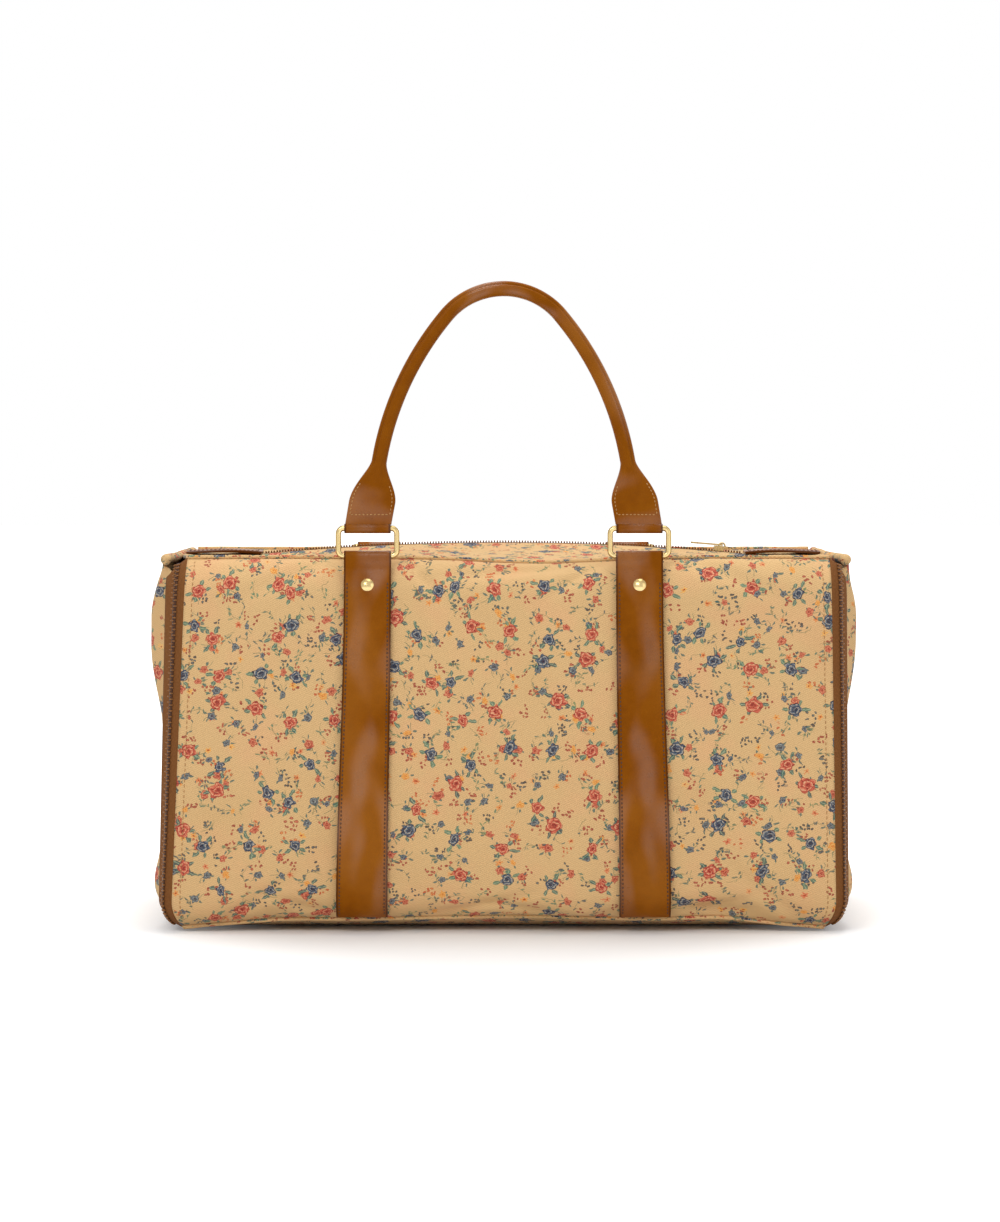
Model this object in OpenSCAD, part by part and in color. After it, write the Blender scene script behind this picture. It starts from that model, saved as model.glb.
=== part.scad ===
// Garment duffel bag: a cloth shell zipped round both ends, with leather straps,
// rolled handles on rectangular rings, and a zip along the top.
// Millimetres. X runs along the bag, Y from front to back, Z up from the floor.

/* [Cloth shell] */
// Length of the front and back panels between the end zips
panel_len = 524; // [440:1:620]
// Depth of the bag from front to back at the end outline
bag_depth = 270; // [220:1:320]
// Height of the top seams above the floor
seam_h = 297; // [240:1:360]
// Thickness of the padded cloth panels
panel_t = 2.4; // [1.6:0.1:4]
// Radius of the lower front and back edges
bottom_r = 30; // [24:1:44]
// Radius of the upper front and back edges
top_r = 36; // [28:1:48]
// How far the front and back panels swell at their middle
panel_swell = 6; // [0:0.5:12]
// How far the end panels swell at their middle
end_swell = 3; // [0:0.5:8]
// Rise of the top zip above the top seams at mid-length
crown = 9; // [5:0.5:16]
// Lift of the lower seams at mid-length
seam_lift = 8; // [0:0.5:14]
// Dip of the upper seams near mid-length
seam_dip = 4; // [0:0.5:8]
// Thickness of the lining
lining_t = 0.8; // [0.5:0.1:1.5]

/* [Seam welts] */
// Radius of the welts along the long seams
welt_r = 1.5; // [1:0.1:2.5]
// Radius of the rolled binding on the top edge of each end
binding_r = 3.4; // [2.5:0.1:5]

/* [Straps and rings] */
// Distance from the middle of the bag to the middle of a strap
strap_x = 107; // [80:1:140]
// Width of the straps
strap_w = 37; // [28:0.5:44]
// Thickness of the straps
strap_t = 3; // [2:0.1:4]
// Height of the ring pivots above the top seams
ring_rise = 2; // [0:0.5:6]
// Radius of the ring wire
ring_wire_r = 2.2; // [1.6:0.1:3]
// Height of a ring between the middles of its two long bars
ring_h = 21.6; // [18:0.2:30]
// Bend radius of a ring's corners, to the middle of the wire
ring_bend_r = 4.2; // [3.2:0.1:6]
// Thickness of the leather round a ring bar
loop_t = 1.6; // [1.2:0.1:2.4]
// Radius of a strap rivet's domed head
rivet_r = 5; // [3:0.1:6]
// Height of a strap rivet's head
rivet_h = 1.8; // [1:0.1:2.4]

/* [Handles] */
// Height of a handle from its ring bar to the middle of its roll at the top
handle_rise = 188; // [150:1:230]
// Diameter of the rolled grip
grip_d = 12; // [9:0.5:16]
// Height of the flared tabs
tab_h = 54; // [40:1:70]
// Thickness of the flared tabs
tab_t = 5; // [4:0.1:7]
// Lean of the handle's legs above the horizontal
leg_angle = 80; // [76:0.5:84]

/* [Zips] */
// Distance from each end of the top zip to the end of the panels
zip_inset = 65; // [65:1:110]
// Radius of one zip coil
coil_r = 1.2; // [0.9:0.05:1.6]
// Thickness of the zip tapes
tape_t = 1; // [0.6:0.1:1.4]
// Half the width of the slot that the top zip fills
zip_edge = 9; // [7.5:0.5:12]
// Length of a zip pull
pull_l = 26; // [18:1:34]
// Width of a zip pull
pull_w = 7; // [6:0.5:10]
// Length of the leather tab at each end of the top zip
zip_tab_l = 62; // [40:1:62]
// Width of the leather tab at each end of the top zip
zip_tab_w = 28; // [20:1:36]

/* [End rings] */
// Height of the end ring pivots below the top seams
end_ring_drop = 34; // [30:1:60]
// Width of the end ring tabs
end_tab_w = 19; // [14:0.5:26]
// Radius of the end ring wire
end_wire_r = 1.5; // [1.2:0.1:2]

/* [Hidden] */
$fn = 48;

cloth = [0.86, 0.70, 0.49];
leather = [0.55, 0.32, 0.06];
brass = [0.82, 0.70, 0.45];
tape_brown = [0.48, 0.32, 0.16];
coil_brown = [0.38, 0.22, 0.10];

// Clearances between neighbours
seat_gap = 0.3;
seam_gap = 0.2;
bore_gap = 0.3;
run_gap = 0.4;

half_len = panel_len / 2;
half_depth = bag_depth / 2;
// Angles, from the level front, at which the front panel meets its two seams
bottom_a = 60;
top_a = 62;
top_arc_z = seam_h - top_r * sin(top_a);
lower_arc_l = bottom_r * bottom_a * PI / 180;
wall_l = top_arc_z - bottom_r;
upper_arc_l = top_r * top_a * PI / 180;
front_l = lower_arc_l + wall_l + upper_arc_l;
top_seam_y = half_depth - top_r + top_r * cos(top_a);
bottom_seam_y = half_depth - bottom_r + bottom_r * cos(bottom_a);
bottom_seam_z = bottom_r * (1 - sin(bottom_a));
// The bottom panel lies flat within this distance of the middle
flat_y = bottom_seam_y * 0.62;
// Half the length of the top zip, and its arc
zip_half = half_len - zip_inset;
zip_arc_r = (zip_half * zip_half + crown * crown) / (2 * crown);
zip_z = seam_h + crown;

function smooth(t) = let(c = min(max(t, 0), 1)) c * c * (3 - 2 * c);
function unit(v) = v / norm(v);
function lerp(a, b, t) = a + (b - a) * t;

// Section of the front panel: [y, z, outward y, outward z] at a distance s along it from the lower seam
function front_at(s) =
    s < lower_arc_l ? let(a = bottom_a * (1 - s / lower_arc_l))
        [-(half_depth - bottom_r) - bottom_r * cos(a), bottom_r - bottom_r * sin(a), -cos(a), -sin(a)]
    : s < lower_arc_l + wall_l ? [-half_depth, bottom_r + s - lower_arc_l, -1, 0]
    : let(a = top_a * (s - lower_arc_l - wall_l) / upper_arc_l)
        [-(half_depth - top_r) - top_r * cos(a), top_arc_z + top_r * sin(a), -cos(a), sin(a)];

// Rise of the shell's surface from sagging: the lower seam lifts and the upper seam dips
function seam_rise(u, k) =
    seam_lift * (1 - u * u) * pow(max(0, 1 - k / 0.25), 2)
    - seam_dip * exp(-pow((u - 0.1) / 0.24, 2)) * pow(max(0, 1 - (1 - k) / 0.15), 2);

// Point of the front panel's outer face, moved out along its normal by off; u runs from -1 to 1 along the bag
function front_pt(u, s, off = 0) =
    let(p = front_at(s), k = s / front_l, w = off + panel_swell * (1 - u * u) * sin(180 * k))
    [u * half_len, p[0] + p[2] * w, p[1] + p[3] * w + seam_rise(u, k)];

// Inward directions in which neighbouring panels share a seam wall
top_mitre = -unit([0, -cos(top_a) - sin(6), sin(top_a) + cos(6)]) * panel_t;
bottom_mitre = -unit([0, -cos(bottom_a) - sin(12), -sin(bottom_a) - cos(12)]) * panel_t;

// Height of the ridge where the two top panels meet the zip
function ridge_z(x) = abs(x) < zip_half
    ? zip_z - zip_arc_r + sqrt(zip_arc_r * zip_arc_r - x * x) : seam_h;

// Closed sheet between an outer and an inner grid of points, seen from outside with i to the right and j up
module sheet(outer, inner) {
    m = len(outer) - 1;
    n = len(outer[0]) - 1;
    count = (m + 1) * (n + 1);
    function at(i, j) = i * (n + 1) + j;
    points = concat([for (i = [0:m], j = [0:n]) outer[i][j]], [for (i = [0:m], j = [0:n]) inner[i][j]]);
    rim = concat([for (j = [0:n]) at(0, j)], [for (i = [1:m]) at(i, n)],
        [for (j = [n - 1:-1:0]) at(m, j)], [for (i = [m - 1:-1:1]) at(i, 0)]);
    faces = concat(
        [for (i = [0:m - 1], j = [0:n - 1]) each [[at(i, j), at(i, j + 1), at(i + 1, j + 1)],
            [at(i, j), at(i + 1, j + 1), at(i + 1, j)]]],
        [for (i = [0:m - 1], j = [0:n - 1]) each [
            [count + at(i, j), count + at(i + 1, j + 1), count + at(i, j + 1)],
            [count + at(i, j), count + at(i + 1, j), count + at(i + 1, j + 1)]]],
        [for (k = [0:len(rim) - 1]) let(a = rim[k], b = rim[(k + 1) % len(rim)])
            each [[a, count + a, count + b], [a, count + b, b]]]);
    polyhedron(points = points, faces = faces);
}

// Closed skin over rings of points, each ring seen clockwise from the first ring's side
module skin(rings) {
    m = len(rings) - 1;
    n = len(rings[0]);
    points = [for (ring = rings) each ring];
    faces = concat([[for (j = [0:n - 1]) j]], [[for (j = [n - 1:-1:0]) m * n + j]],
        [for (i = [0:m - 1], j = [0:n - 1]) let(a = i * n + j, b = i * n + (j + 1) % n)
            each [[a, a + n, b + n], [a, b + n, b]]]);
    polyhedron(points = points, faces = faces);
}

// Stations along the bag and up the front panel
cols = [for (i = [-10:10]) i / 10];
front_rows = concat(
    [for (i = [0:4]) lower_arc_l * i / 5],
    [for (i = [0:6]) lower_arc_l + wall_l * i / 7],
    [for (i = [0:5]) lower_arc_l + wall_l + upper_arc_l * i / 5]);

module long_panel() {
    last = len(front_rows) - 1;
    outer = [for (u = cols) [for (s = front_rows) front_pt(u, s)]];
    inner = [for (u = cols) [for (j = [0:last])
        j == 0 ? front_pt(u, 0) + bottom_mitre
        : j == last ? front_pt(u, front_l) + top_mitre
        : front_pt(u, front_rows[j], -panel_t)]];
    sheet(outer, inner);
}

module front_panel() {
    color(cloth) long_panel();
}

module back_panel() {
    color(cloth) mirror([0, 1, 0]) long_panel();
}

// Outer face of the bottom panel: flat in the middle, rising to the lower seams
function bottom_pt(u, y) =
    let(t = max(0, (abs(y) - flat_y) / (bottom_seam_y - flat_y)))
    [u * half_len, y, (bottom_seam_z + seam_lift * (1 - u * u)) * t * t];

module bottom_panel() {
    edge_y = bottom_seam_y - seam_gap;
    rows = [for (t = [1, 0.85, 0.7, 0.62, 0.3, 0, -0.3, -0.62, -0.7, -0.85, -1]) t * edge_y];
    outer = [for (u = cols) [for (y = rows) bottom_pt(u, y)]];
    inner = [for (u = cols) [for (y = rows) bottom_pt(u, y) +
        (abs(y) == edge_y ? [0, bottom_mitre[1] * -sign(y), bottom_mitre[2]] : [0, 0, panel_t])]];
    color(cloth) sheet(outer, inner);
}

// Outer face of a top panel, from the seam at q = 0 to the zip at q = 1
function top_pt(u, q) =
    let(x = u * half_len, seam = front_pt(u, front_l), inner_y = abs(x) < zip_half ? zip_edge : seam_gap / 2)
    [x, -lerp(top_seam_y - seam_gap, inner_y, q),
        lerp(seam[2], ridge_z(x), 1 - pow(1 - q, 2))];

module top_panel() {
    slot_u = zip_half / half_len;
    step = 0.02;
    side = [slot_u + step, 0.88, 1];
    mid = [for (i = [-6:6]) slot_u * i / 6.01];
    top_cols = concat([-1, -0.88, -slot_u - step], mid, side);
    rows = [0, 0.12, 0.3, 0.55, 0.8, 1];
    outer = [for (u = top_cols) [for (q = rows) top_pt(u, q)]];
    inner = [for (u = top_cols) [for (q = rows) top_pt(u, q) + (q == 0 ? top_mitre : [0, 0, -panel_t])]];
    sheet(outer, inner);
}

module top_front_panel() {
    color(cloth) top_panel();
}

module top_back_panel() {
    color(cloth) mirror([0, 1, 0]) top_panel();
}

// Section of an end zip, from the panel edge past the coils to the end panel; [out along the bag, in from the outline]
zip_mid = [7.5, -6];
zip_far = [12, -18];
zip_slit = 0.6;
zip_along = unit(unit(zip_mid) + unit(zip_far - zip_mid));
zip_out = [-zip_along[1], zip_along[0]];

// Outline of the end panels in Y and Z: a rounded rectangle inside the zips
end_inset = -zip_far[1] + seat_gap;
end_half = half_depth - end_inset;
end_low = end_inset;
end_high = seam_h - 2 - binding_r - seat_gap;
end_low_r = bottom_r - end_inset;
end_high_r = top_r * 2 / 3;
end_mid_z = (end_low + end_high) / 2;
// The top of each end panel leans in by this much over this height
end_lean = 6;
lean_h = 42;
function arc_pts(cy, cz, r, from, to, n) = [for (i = [0:n]) let(a = lerp(from, to, i / n))
    [cy + r * cos(a), cz + r * sin(a)]];
function line_pts(p, q, n) = [for (i = [1:n - 1]) lerp(p, q, i / n)];
end_outline = let(
    bl = arc_pts(-end_half + end_low_r, end_low + end_low_r, end_low_r, 270, 180, 3),
    tl = arc_pts(-end_half + end_high_r, end_high - end_high_r, end_high_r, 180, 90, 4),
    tr = arc_pts(end_half - end_high_r, end_high - end_high_r, end_high_r, 90, 0, 4),
    br = arc_pts(end_half - end_low_r, end_low + end_low_r, end_low_r, 0, -90, 3))
    concat(bl, line_pts(bl[3], tl[0], 5), tl, line_pts(tl[4], tr[0], 5), tr, line_pts(tr[4], br[0], 5), br,
        line_pts(br[3], bl[0], 5));

// How far an end panel's outer face stands out along the bag; ring is 1 at the outline and 0 at the middle
function end_x(z, ring) = half_len + zip_far[0] + end_swell * (1 - ring * ring)
    - end_lean * smooth((z - (end_high - lean_h)) / lean_h);
function end_pt(p, ring, off) =
    let(y = p[0] * ring, z = lerp(end_mid_z, p[1], ring)) [end_x(z, ring) + off, y, z];

module end_panel() {
    steps = [1, 0.88, 0.65, 0.35];
    n = len(end_outline);
    m = len(steps);
    grid = [for (off = [0, -panel_t]) each concat(
        [for (ring = steps) each [for (p = end_outline) end_pt(p, ring, off)]], [end_pt([0, end_mid_z], 0, off)])];
    count = m * n + 1;
    function at(i, j) = i * n + j % n;
    faces = concat(
        [for (i = [0:m - 2], j = [0:n - 1]) each [[at(i, j), at(i, j + 1), at(i + 1, j + 1)],
            [at(i, j), at(i + 1, j + 1), at(i + 1, j)]]],
        [for (j = [0:n - 1]) [at(m - 1, j), at(m - 1, j + 1), m * n]],
        [for (i = [0:m - 2], j = [0:n - 1]) each [
            [count + at(i, j), count + at(i + 1, j + 1), count + at(i, j + 1)],
            [count + at(i, j), count + at(i + 1, j), count + at(i + 1, j + 1)]]],
        [for (j = [0:n - 1]) [count + at(m - 1, j), count + m * n, count + at(m - 1, j + 1)]],
        [for (j = [0:n - 1]) each [[at(0, j), count + at(0, j), count + at(0, j + 1)],
            [at(0, j), count + at(0, j + 1), at(0, j + 1)]]]);
    polyhedron(points = grid, faces = faces);
}

module right_end_panel() {
    color(cloth) end_panel();
}

module left_end_panel() {
    color(cloth) mirror([1, 0, 0]) end_panel();
}

// Lining: a thin bag inside the panels, open along the top zip
lining_r = 52;
// The lining's floor stays this far above the bottom panel, and its top this far below the top panels
lining_lift = 2;
lining_drop = 14;
module lining_block(inset) {
    low = panel_t + lining_lift + inset;
    high = seam_h - panel_t - lining_drop - inset;
    wide = half_depth - panel_t - seat_gap - inset;
    long = half_len - seat_gap - inset;
    r = lining_r - inset;
    rotate([90, 0, 90]) linear_extrude(2 * long, center = true) union() {
        for (side = [-1, 1], z = [low + r, high - r]) translate([side * (wide - r), z]) circle(r);
        translate([-wide, low + r]) square([2 * wide, high - low - 2 * r]);
        translate([-(wide - r), low]) square([2 * (wide - r), high - low]);
    }
}

module lining() {
    slot_w = 2 * zip_edge;
    color(tape_brown) difference() {
        lining_block(0);
        lining_block(lining_t);
        translate([-zip_half, -slot_w / 2, seam_h / 2]) cube([2 * zip_half, slot_w, seam_h]);
    }
}

// Round welt along a long seam; centre gives its middle at each station
module welt(centres) {
    sides = 8;
    skin([for (c = centres) [for (j = [0:sides - 1]) let(a = 360 * j / sides)
        c + [0, welt_r * cos(a), welt_r * sin(a)]]]);
}

module top_welt() {
    out = -unit(top_mitre) * (welt_r + seat_gap);
    welt([for (u = cols) front_pt(u, front_l) + out]);
}

module bottom_welt() {
    out = -unit(bottom_mitre) * (welt_r + seat_gap);
    welt([for (u = cols) front_pt(u, 0) + out]);
}

module front_top_welt() {
    color(cloth) top_welt();
}

module back_top_welt() {
    color(cloth) mirror([0, 1, 0]) top_welt();
}

module front_bottom_welt() {
    color(cloth) bottom_welt();
}

module back_bottom_welt() {
    color(cloth) mirror([0, 1, 0]) bottom_welt();
}

// Rolled binding on the top edge of an end panel
module end_binding() {
    run = end_half - end_high_r / 2;
    translate([half_len + seat_gap + binding_r, 0, seam_h - 2]) {
        rotate([90, 0, 0]) cylinder(r = binding_r, h = 2 * run, center = true);
        for (side = [-1, 1]) translate([0, side * run, 0]) sphere(binding_r);
    }
}

module right_end_binding() {
    color(cloth) end_binding();
}

module left_end_binding() {
    color(cloth) mirror([1, 0, 0]) end_binding();
}

// Straps follow the panel, leave it at the upper edge and end in a loop round the ring's lower bar
strap_u = strap_x / half_len;
strap_seat = seat_gap + panel_swell * strap_x * strap_w / (half_len * half_len);
leave_a = 16;
leave_s = lower_arc_l + wall_l + upper_arc_l * leave_a / top_a;
strap_low_s = lower_arc_l * 0.3;
leave_pt = front_pt(strap_u, leave_s, strap_seat + strap_t / 2);
ring_z = seam_h + ring_rise;
ring_y = leave_pt[1] + (ring_z - leave_pt[2]) * tan(leave_a);
bore_r = ring_wire_r + bore_gap;
loop_r = bore_r + loop_t;
rivet_hole_r = 1.8;
rivet_shank_r = rivet_hole_r - 0.1;

module strap_section() {
    stations = concat([for (i = [0:3]) lerp(strap_low_s, lower_arc_l, i / 3)],
        [for (i = [1:8]) lower_arc_l + wall_l * i / 8], [leave_s]);
    function side(off) = [for (s = stations) let(p = front_pt(strap_u, s, off)) [p[1], p[2]]];
    along = [sin(leave_a), cos(leave_a)];
    across = [-cos(leave_a), sin(leave_a)] * strap_t / 2;
    end = [ring_y, ring_z];
    inner = side(strap_seat);
    outer = side(strap_seat + strap_t);
    difference() {
        union() {
            polygon(concat(inner, [end - across], [end + across], [for (i = [len(outer) - 1:-1:0]) outer[i]]));
            translate(end) circle(loop_r);
        }
        translate(end) circle(bore_r);
    }
}

// Puts its children at a rivet: the origin on the strap's outer face, Z pointing out of it
module at_rivet() {
    p = front_pt(strap_u, leave_s, strap_seat + strap_t);
    translate([strap_x, p[1], p[2]]) rotate([90 - leave_a, 0, 0]) children();
}

module strap() {
    difference() {
        translate([strap_x - strap_w / 2, 0, 0]) rotate([90, 0, 90]) linear_extrude(strap_w) strap_section();
        at_rivet() cylinder(r = rivet_hole_r, h = 4 * strap_t, center = true);
    }
}

module front_right_strap() {
    color(leather) strap();
}

module front_left_strap() {
    color(leather) mirror([1, 0, 0]) strap();
}

module back_right_strap() {
    color(leather) mirror([0, 1, 0]) strap();
}

module back_left_strap() {
    color(leather) mirror([1, 0, 0]) mirror([0, 1, 0]) strap();
}

// Domed rivet: a slice of a sphere over a shank through the strap
module rivet() {
    dome_r = (rivet_r * rivet_r + rivet_h * rivet_h) / (2 * rivet_h);
    at_rivet() {
        intersection() {
            translate([0, 0, rivet_h - dome_r]) sphere(dome_r, $fn = 96);
            cylinder(r = rivet_r, h = rivet_h);
        }
        translate([0, 0, -strap_t]) cylinder(r = rivet_shank_r, h = strap_t + rivet_h / 2);
    }
}

module strap_rivets() {
    color(brass) for (mx = [0, 1], my = [0, 1]) mirror([mx, 0, 0]) mirror([0, my, 0]) rivet();
}

// Rectangular ring of round wire, standing up from its lower bar on the X axis
ring_straight = strap_w + 2 * seat_gap;
module ring() {
    half_w = ring_straight / 2 + ring_bend_r;
    side_h = ring_h - 2 * ring_bend_r;
    for (z = [0, ring_h]) translate([0, 0, z]) rotate([0, 90, 0])
        cylinder(r = ring_wire_r, h = ring_straight, center = true);
    for (side = [-1, 1]) translate([side * half_w, 0, ring_bend_r]) cylinder(r = ring_wire_r, h = side_h);
    for (side = [0, 1], top = [0, 1]) mirror([side, 0, 0])
        translate([ring_straight / 2, 0, ring_h / 2]) mirror([0, 0, top])
        translate([0, 0, ring_h / 2 - ring_bend_r]) rotate([90, 0, 0])
        rotate_extrude(angle = 90) translate([ring_bend_r, 0]) circle(ring_wire_r);
}

// Handle: a roll bent on three arcs, flaring into flat tabs with a loop round each ring's upper bar.
// Its origin is midway between the two ring bars
crown_a = 50;
neck_x = strap_x - tab_h / tan(leg_angle);
neck_h = handle_rise - tab_h;
arch = sin(crown_a) * (cos(crown_a) - cos(leg_angle)) - (sin(leg_angle) - sin(crown_a)) * (1 - cos(crown_a));
crown_r = (neck_x * (cos(crown_a) - cos(leg_angle)) - neck_h * (sin(leg_angle) - sin(crown_a))) / arch;
leg_r = (sin(crown_a) * neck_h - (1 - cos(crown_a)) * neck_x) / arch;
tab_w = strap_w - 0.5;

crown_c = [0, handle_rise - crown_r];
leg_c = crown_c + (crown_r - leg_r) * [sin(crown_a), cos(crown_a)];

// One section of the handle: its middle, the turn of its width from upright, its width, depth and squareness
function handle_ring(mid, turn, w, d, square) =
    [for (j = [0:15]) let(a = -360 * j / 16, c = cos(a), s = sin(a), p = 2 / square,
        across = w / 2 * sign(c) * pow(abs(c), p))
        [mid[0] + across * sin(turn), d / 2 * sign(s) * pow(abs(s), p), mid[1] + across * cos(turn)]];

// Section of the roll at an angle from the top of the handle
function roll_ring(turn) =
    let(side = sign(turn), dir = [sin(turn), cos(turn)],
        mid = abs(turn) <= crown_a ? crown_c + crown_r * dir : [side * leg_c[0], leg_c[1]] + leg_r * dir)
    handle_ring(mid, turn, grip_d, grip_d, 2);

// Section of a tab at t from 0 at the neck to 1 at the loop, where the roll widens and flattens
function tab_ring(side, t) =
    let(rise = tab_h * (1 - t))
    handle_ring([side * (strap_x - rise / tan(leg_angle)), rise], side * lerp(leg_angle, 90, smooth(t)),
        lerp(grip_d, tab_w - 0.8, smooth((t - 0.04) / 0.72)), lerp(grip_d, tab_t, smooth(t / 0.85)),
        lerp(2, 5, smooth(t)));

module handle() {
    last_t = 1 - (bore_r + loop_t / 4) / tab_h;
    stations = [0.12, 0.24, 0.36, 0.48, 0.6, 0.72, 0.85, last_t];
    turns = [-leg_angle, -74, -68, -62, -56, for (i = [-5:5]) i * crown_a / 5, 56, 62, 68, 74, leg_angle];
    skin(concat([for (i = [7:-1:0]) tab_ring(-1, stations[i])], [for (turn = turns) roll_ring(turn)],
        [for (t = stations) tab_ring(1, t)]));
    for (side = [-1, 1]) translate([side * strap_x, 0, 0]) rotate([0, 90, 0])
        linear_extrude(tab_w, center = true) difference() {
            circle(loop_r);
            circle(bore_r);
        }
}

// The back rings and handle hang down behind the bag, turned out by these angles
ring_hang = 125;
handle_hang = 47;
module at_front_ring(ring_turn) {
    translate([0, ring_y, ring_z]) rotate([ring_turn, 0, 0]) children();
}

module front_right_ring() {
    color(brass) at_front_ring(0) translate([strap_x, 0, 0]) ring();
}

module front_left_ring() {
    color(brass) at_front_ring(0) translate([-strap_x, 0, 0]) ring();
}

module front_handle() {
    color(leather) at_front_ring(0) translate([0, 0, ring_h]) handle();
}

module back_right_ring() {
    color(brass) mirror([0, 1, 0]) at_front_ring(ring_hang) translate([strap_x, 0, 0]) ring();
}

module back_left_ring() {
    color(brass) mirror([0, 1, 0]) at_front_ring(ring_hang) translate([-strap_x, 0, 0]) ring();
}

module back_handle() {
    color(leather) mirror([0, 1, 0]) at_front_ring(ring_hang)
        translate([0, 0, ring_h]) rotate([handle_hang, 0, 0]) handle();
}

// Sweeps a section along the top zip's arc; the section's X is across the bag and its Y is up from the tapes
module top_zip_sweep() {
    half_a = asin(zip_half / zip_arc_r);
    translate([0, 0, zip_z - zip_arc_r]) rotate([90, 0, 0]) rotate([0, 0, 90 - half_a])
        rotate_extrude(angle = 2 * half_a, $fn = 256) translate([zip_arc_r, 0]) mirror([1, -1]) children();
}

coil_seat = coil_r + 0.1;
module top_tape() {
    top_zip_sweep() translate([zip_slit, -tape_t]) square([zip_edge - zip_slit - seam_gap, tape_t]);
}

module top_coil() {
    top_zip_sweep() translate([zip_slit + coil_r, coil_seat]) circle(coil_r);
}

module top_zip_front_tape() {
    color(tape_brown) top_tape();
}

module top_zip_back_tape() {
    color(tape_brown) mirror([0, 1, 0]) top_tape();
}

module top_zip_front_coil() {
    color(coil_brown) top_coil();
}

module top_zip_back_coil() {
    color(coil_brown) mirror([0, 1, 0]) top_coil();
}

// Zip slider: X along the zip, Z out of the tapes, with a web through the slit and a bail for the pull
plate_l = 13;
plate_t = 1.5;
plate_half = zip_slit + 2 * coil_r + run_gap + 1;
plate_z = 2 * coil_r + 0.1 + run_gap;
bail_r = 2.6;
bail_wire_r = 0.7;
pin_r = 0.7;
pin_z = plate_z + plate_t + pin_r + seat_gap;

module plate_outline() {
    nose_r = plate_half * 0.8;
    union() {
        translate([-plate_l / 2, -plate_half]) square([plate_l * 0.6, 2 * plate_half]);
        translate([plate_l / 2 - nose_r, 0]) circle(nose_r);
        translate([0, -nose_r]) square([plate_l / 2 - nose_r, 2 * nose_r]);
    }
}

// drop lowers the inner plate under tapes that bend at the slit
module slider(drop = 0) {
    web_half = zip_slit - 0.25;
    inner_z = -tape_t - run_gap - plate_t - drop;
    translate([0, 0, plate_z]) linear_extrude(plate_t) plate_outline();
    translate([0, 0, inner_z]) linear_extrude(plate_t) plate_outline();
    translate([-plate_l / 2, -web_half, inner_z + plate_t / 2])
        cube([plate_l * 0.6, 2 * web_half, plate_z - inner_z]);
    for (side = [0, 1]) mirror([0, side, 0]) translate([-plate_l / 2, plate_half - 1, run_gap])
        cube([plate_l * 0.6, 1, plate_z - run_gap + plate_t / 2]);
    translate([0, 0, plate_z + plate_t]) rotate([90, 0, 0])
        rotate_extrude(angle = 180) translate([bail_r, 0]) circle(bail_wire_r, $fn = 24);
}

// Zip pull: its origin is on its pin, which passes under the slider's bail
module pull() {
    slot_l = 6.4;
    slot_half = 1.6;
    arm = pull_w / 2 - slot_half - 0.6;
    thick = 2 * pin_r;
    rotate([90, 0, 0]) cylinder(r = pin_r, h = 2 * (slot_half + arm), center = true);
    translate([0, 0, -pin_r]) linear_extrude(thick) difference() {
        union() {
            translate([0, -slot_half - arm]) square([slot_l + 2, 2 * (slot_half + arm)]);
            translate([slot_l + 1, -pull_w / 2 + 1]) square([pull_l - slot_l - 1 - pull_w / 2, pull_w - 2]);
            translate([pull_l - pull_w / 2, 0]) circle(pull_w / 2);
        }
        translate([-1, -slot_half]) square([slot_l + 1, 2 * slot_half]);
    }
}

// The top slider is at the closed end of the zip, turned along the arc
slider_inset = 17;
top_slider_x = zip_half - slider_inset;
module at_top_slider() {
    a = asin(top_slider_x / zip_arc_r);
    translate([0, 0, zip_z - zip_arc_r]) rotate([0, a, 0]) translate([0, 0, zip_arc_r]) children();
}

module top_zip_slider() {
    color(brass) at_top_slider() slider();
}

module top_zip_pull() {
    color(brass) at_top_slider() translate([0, 0, pin_z]) rotate([0, 0, 180]) pull();
}

// Leather tab from the end of the top zip to the end binding, arched over the seam between the top panels
module zip_tab() {
    from_x = zip_half + 1.5;
    thick = 2.2;
    arch_h = 3;
    stations = [for (i = [0:8]) i / 8];
    function low(t) = [from_x + zip_tab_l * t, seam_h + seat_gap + 0.2 + arch_h * sin(180 * t)];
    translate([0, zip_tab_w / 2, 0]) rotate([90, 0, 0]) linear_extrude(zip_tab_w)
        polygon(concat([for (t = stations) low(t)], [for (i = [8:-1:0]) low(stations[i]) + [0, thick]]));
}

module right_zip_tab() {
    color(leather) zip_tab();
}

module left_zip_tab() {
    color(leather) mirror([1, 0, 0]) zip_tab();
}

// Path of an end zip: down the front, under the bag and up the back; each station is [y, z, outward y, outward z]
front_path = concat(
    [for (i = [4:-1:0]) let(a = top_a * i / 4)
        [-(half_depth - top_r) - top_r * cos(a), top_arc_z + top_r * sin(a), -cos(a), sin(a)]],
    [for (i = [0:6]) let(a = 90 * i / 6)
        [-(half_depth - bottom_r) - bottom_r * cos(a), bottom_r - bottom_r * sin(a), -cos(a), -sin(a)]]);
end_path = concat(front_path,
    [for (i = [len(front_path) - 1:-1:0]) let(p = front_path[i]) [-p[0], p[1], -p[2], p[3]]]);

// Sweeps a section round one end. The section's points run anticlockwise, with X along the bag from the panel
// edge and Y out from the outline
module end_zip_sweep(section) {
    skin([for (p = end_path) [for (q = section)
        [half_len + q[0], p[0] + q[1] * p[2], p[1] + q[1] * p[3]]]]);
}

panel_tape_section = let(d = unit(zip_mid), start = d * seam_gap, end = zip_mid - zip_along * zip_slit)
    [start, start - [0, tape_t / d[0]], end - zip_out * tape_t, end];
end_tape_section = let(d = unit(zip_far - zip_mid), start = zip_mid + zip_along * zip_slit)
    [start, start - zip_out * tape_t, zip_far + [d[1], -d[0]] * tape_t, zip_far];

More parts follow.
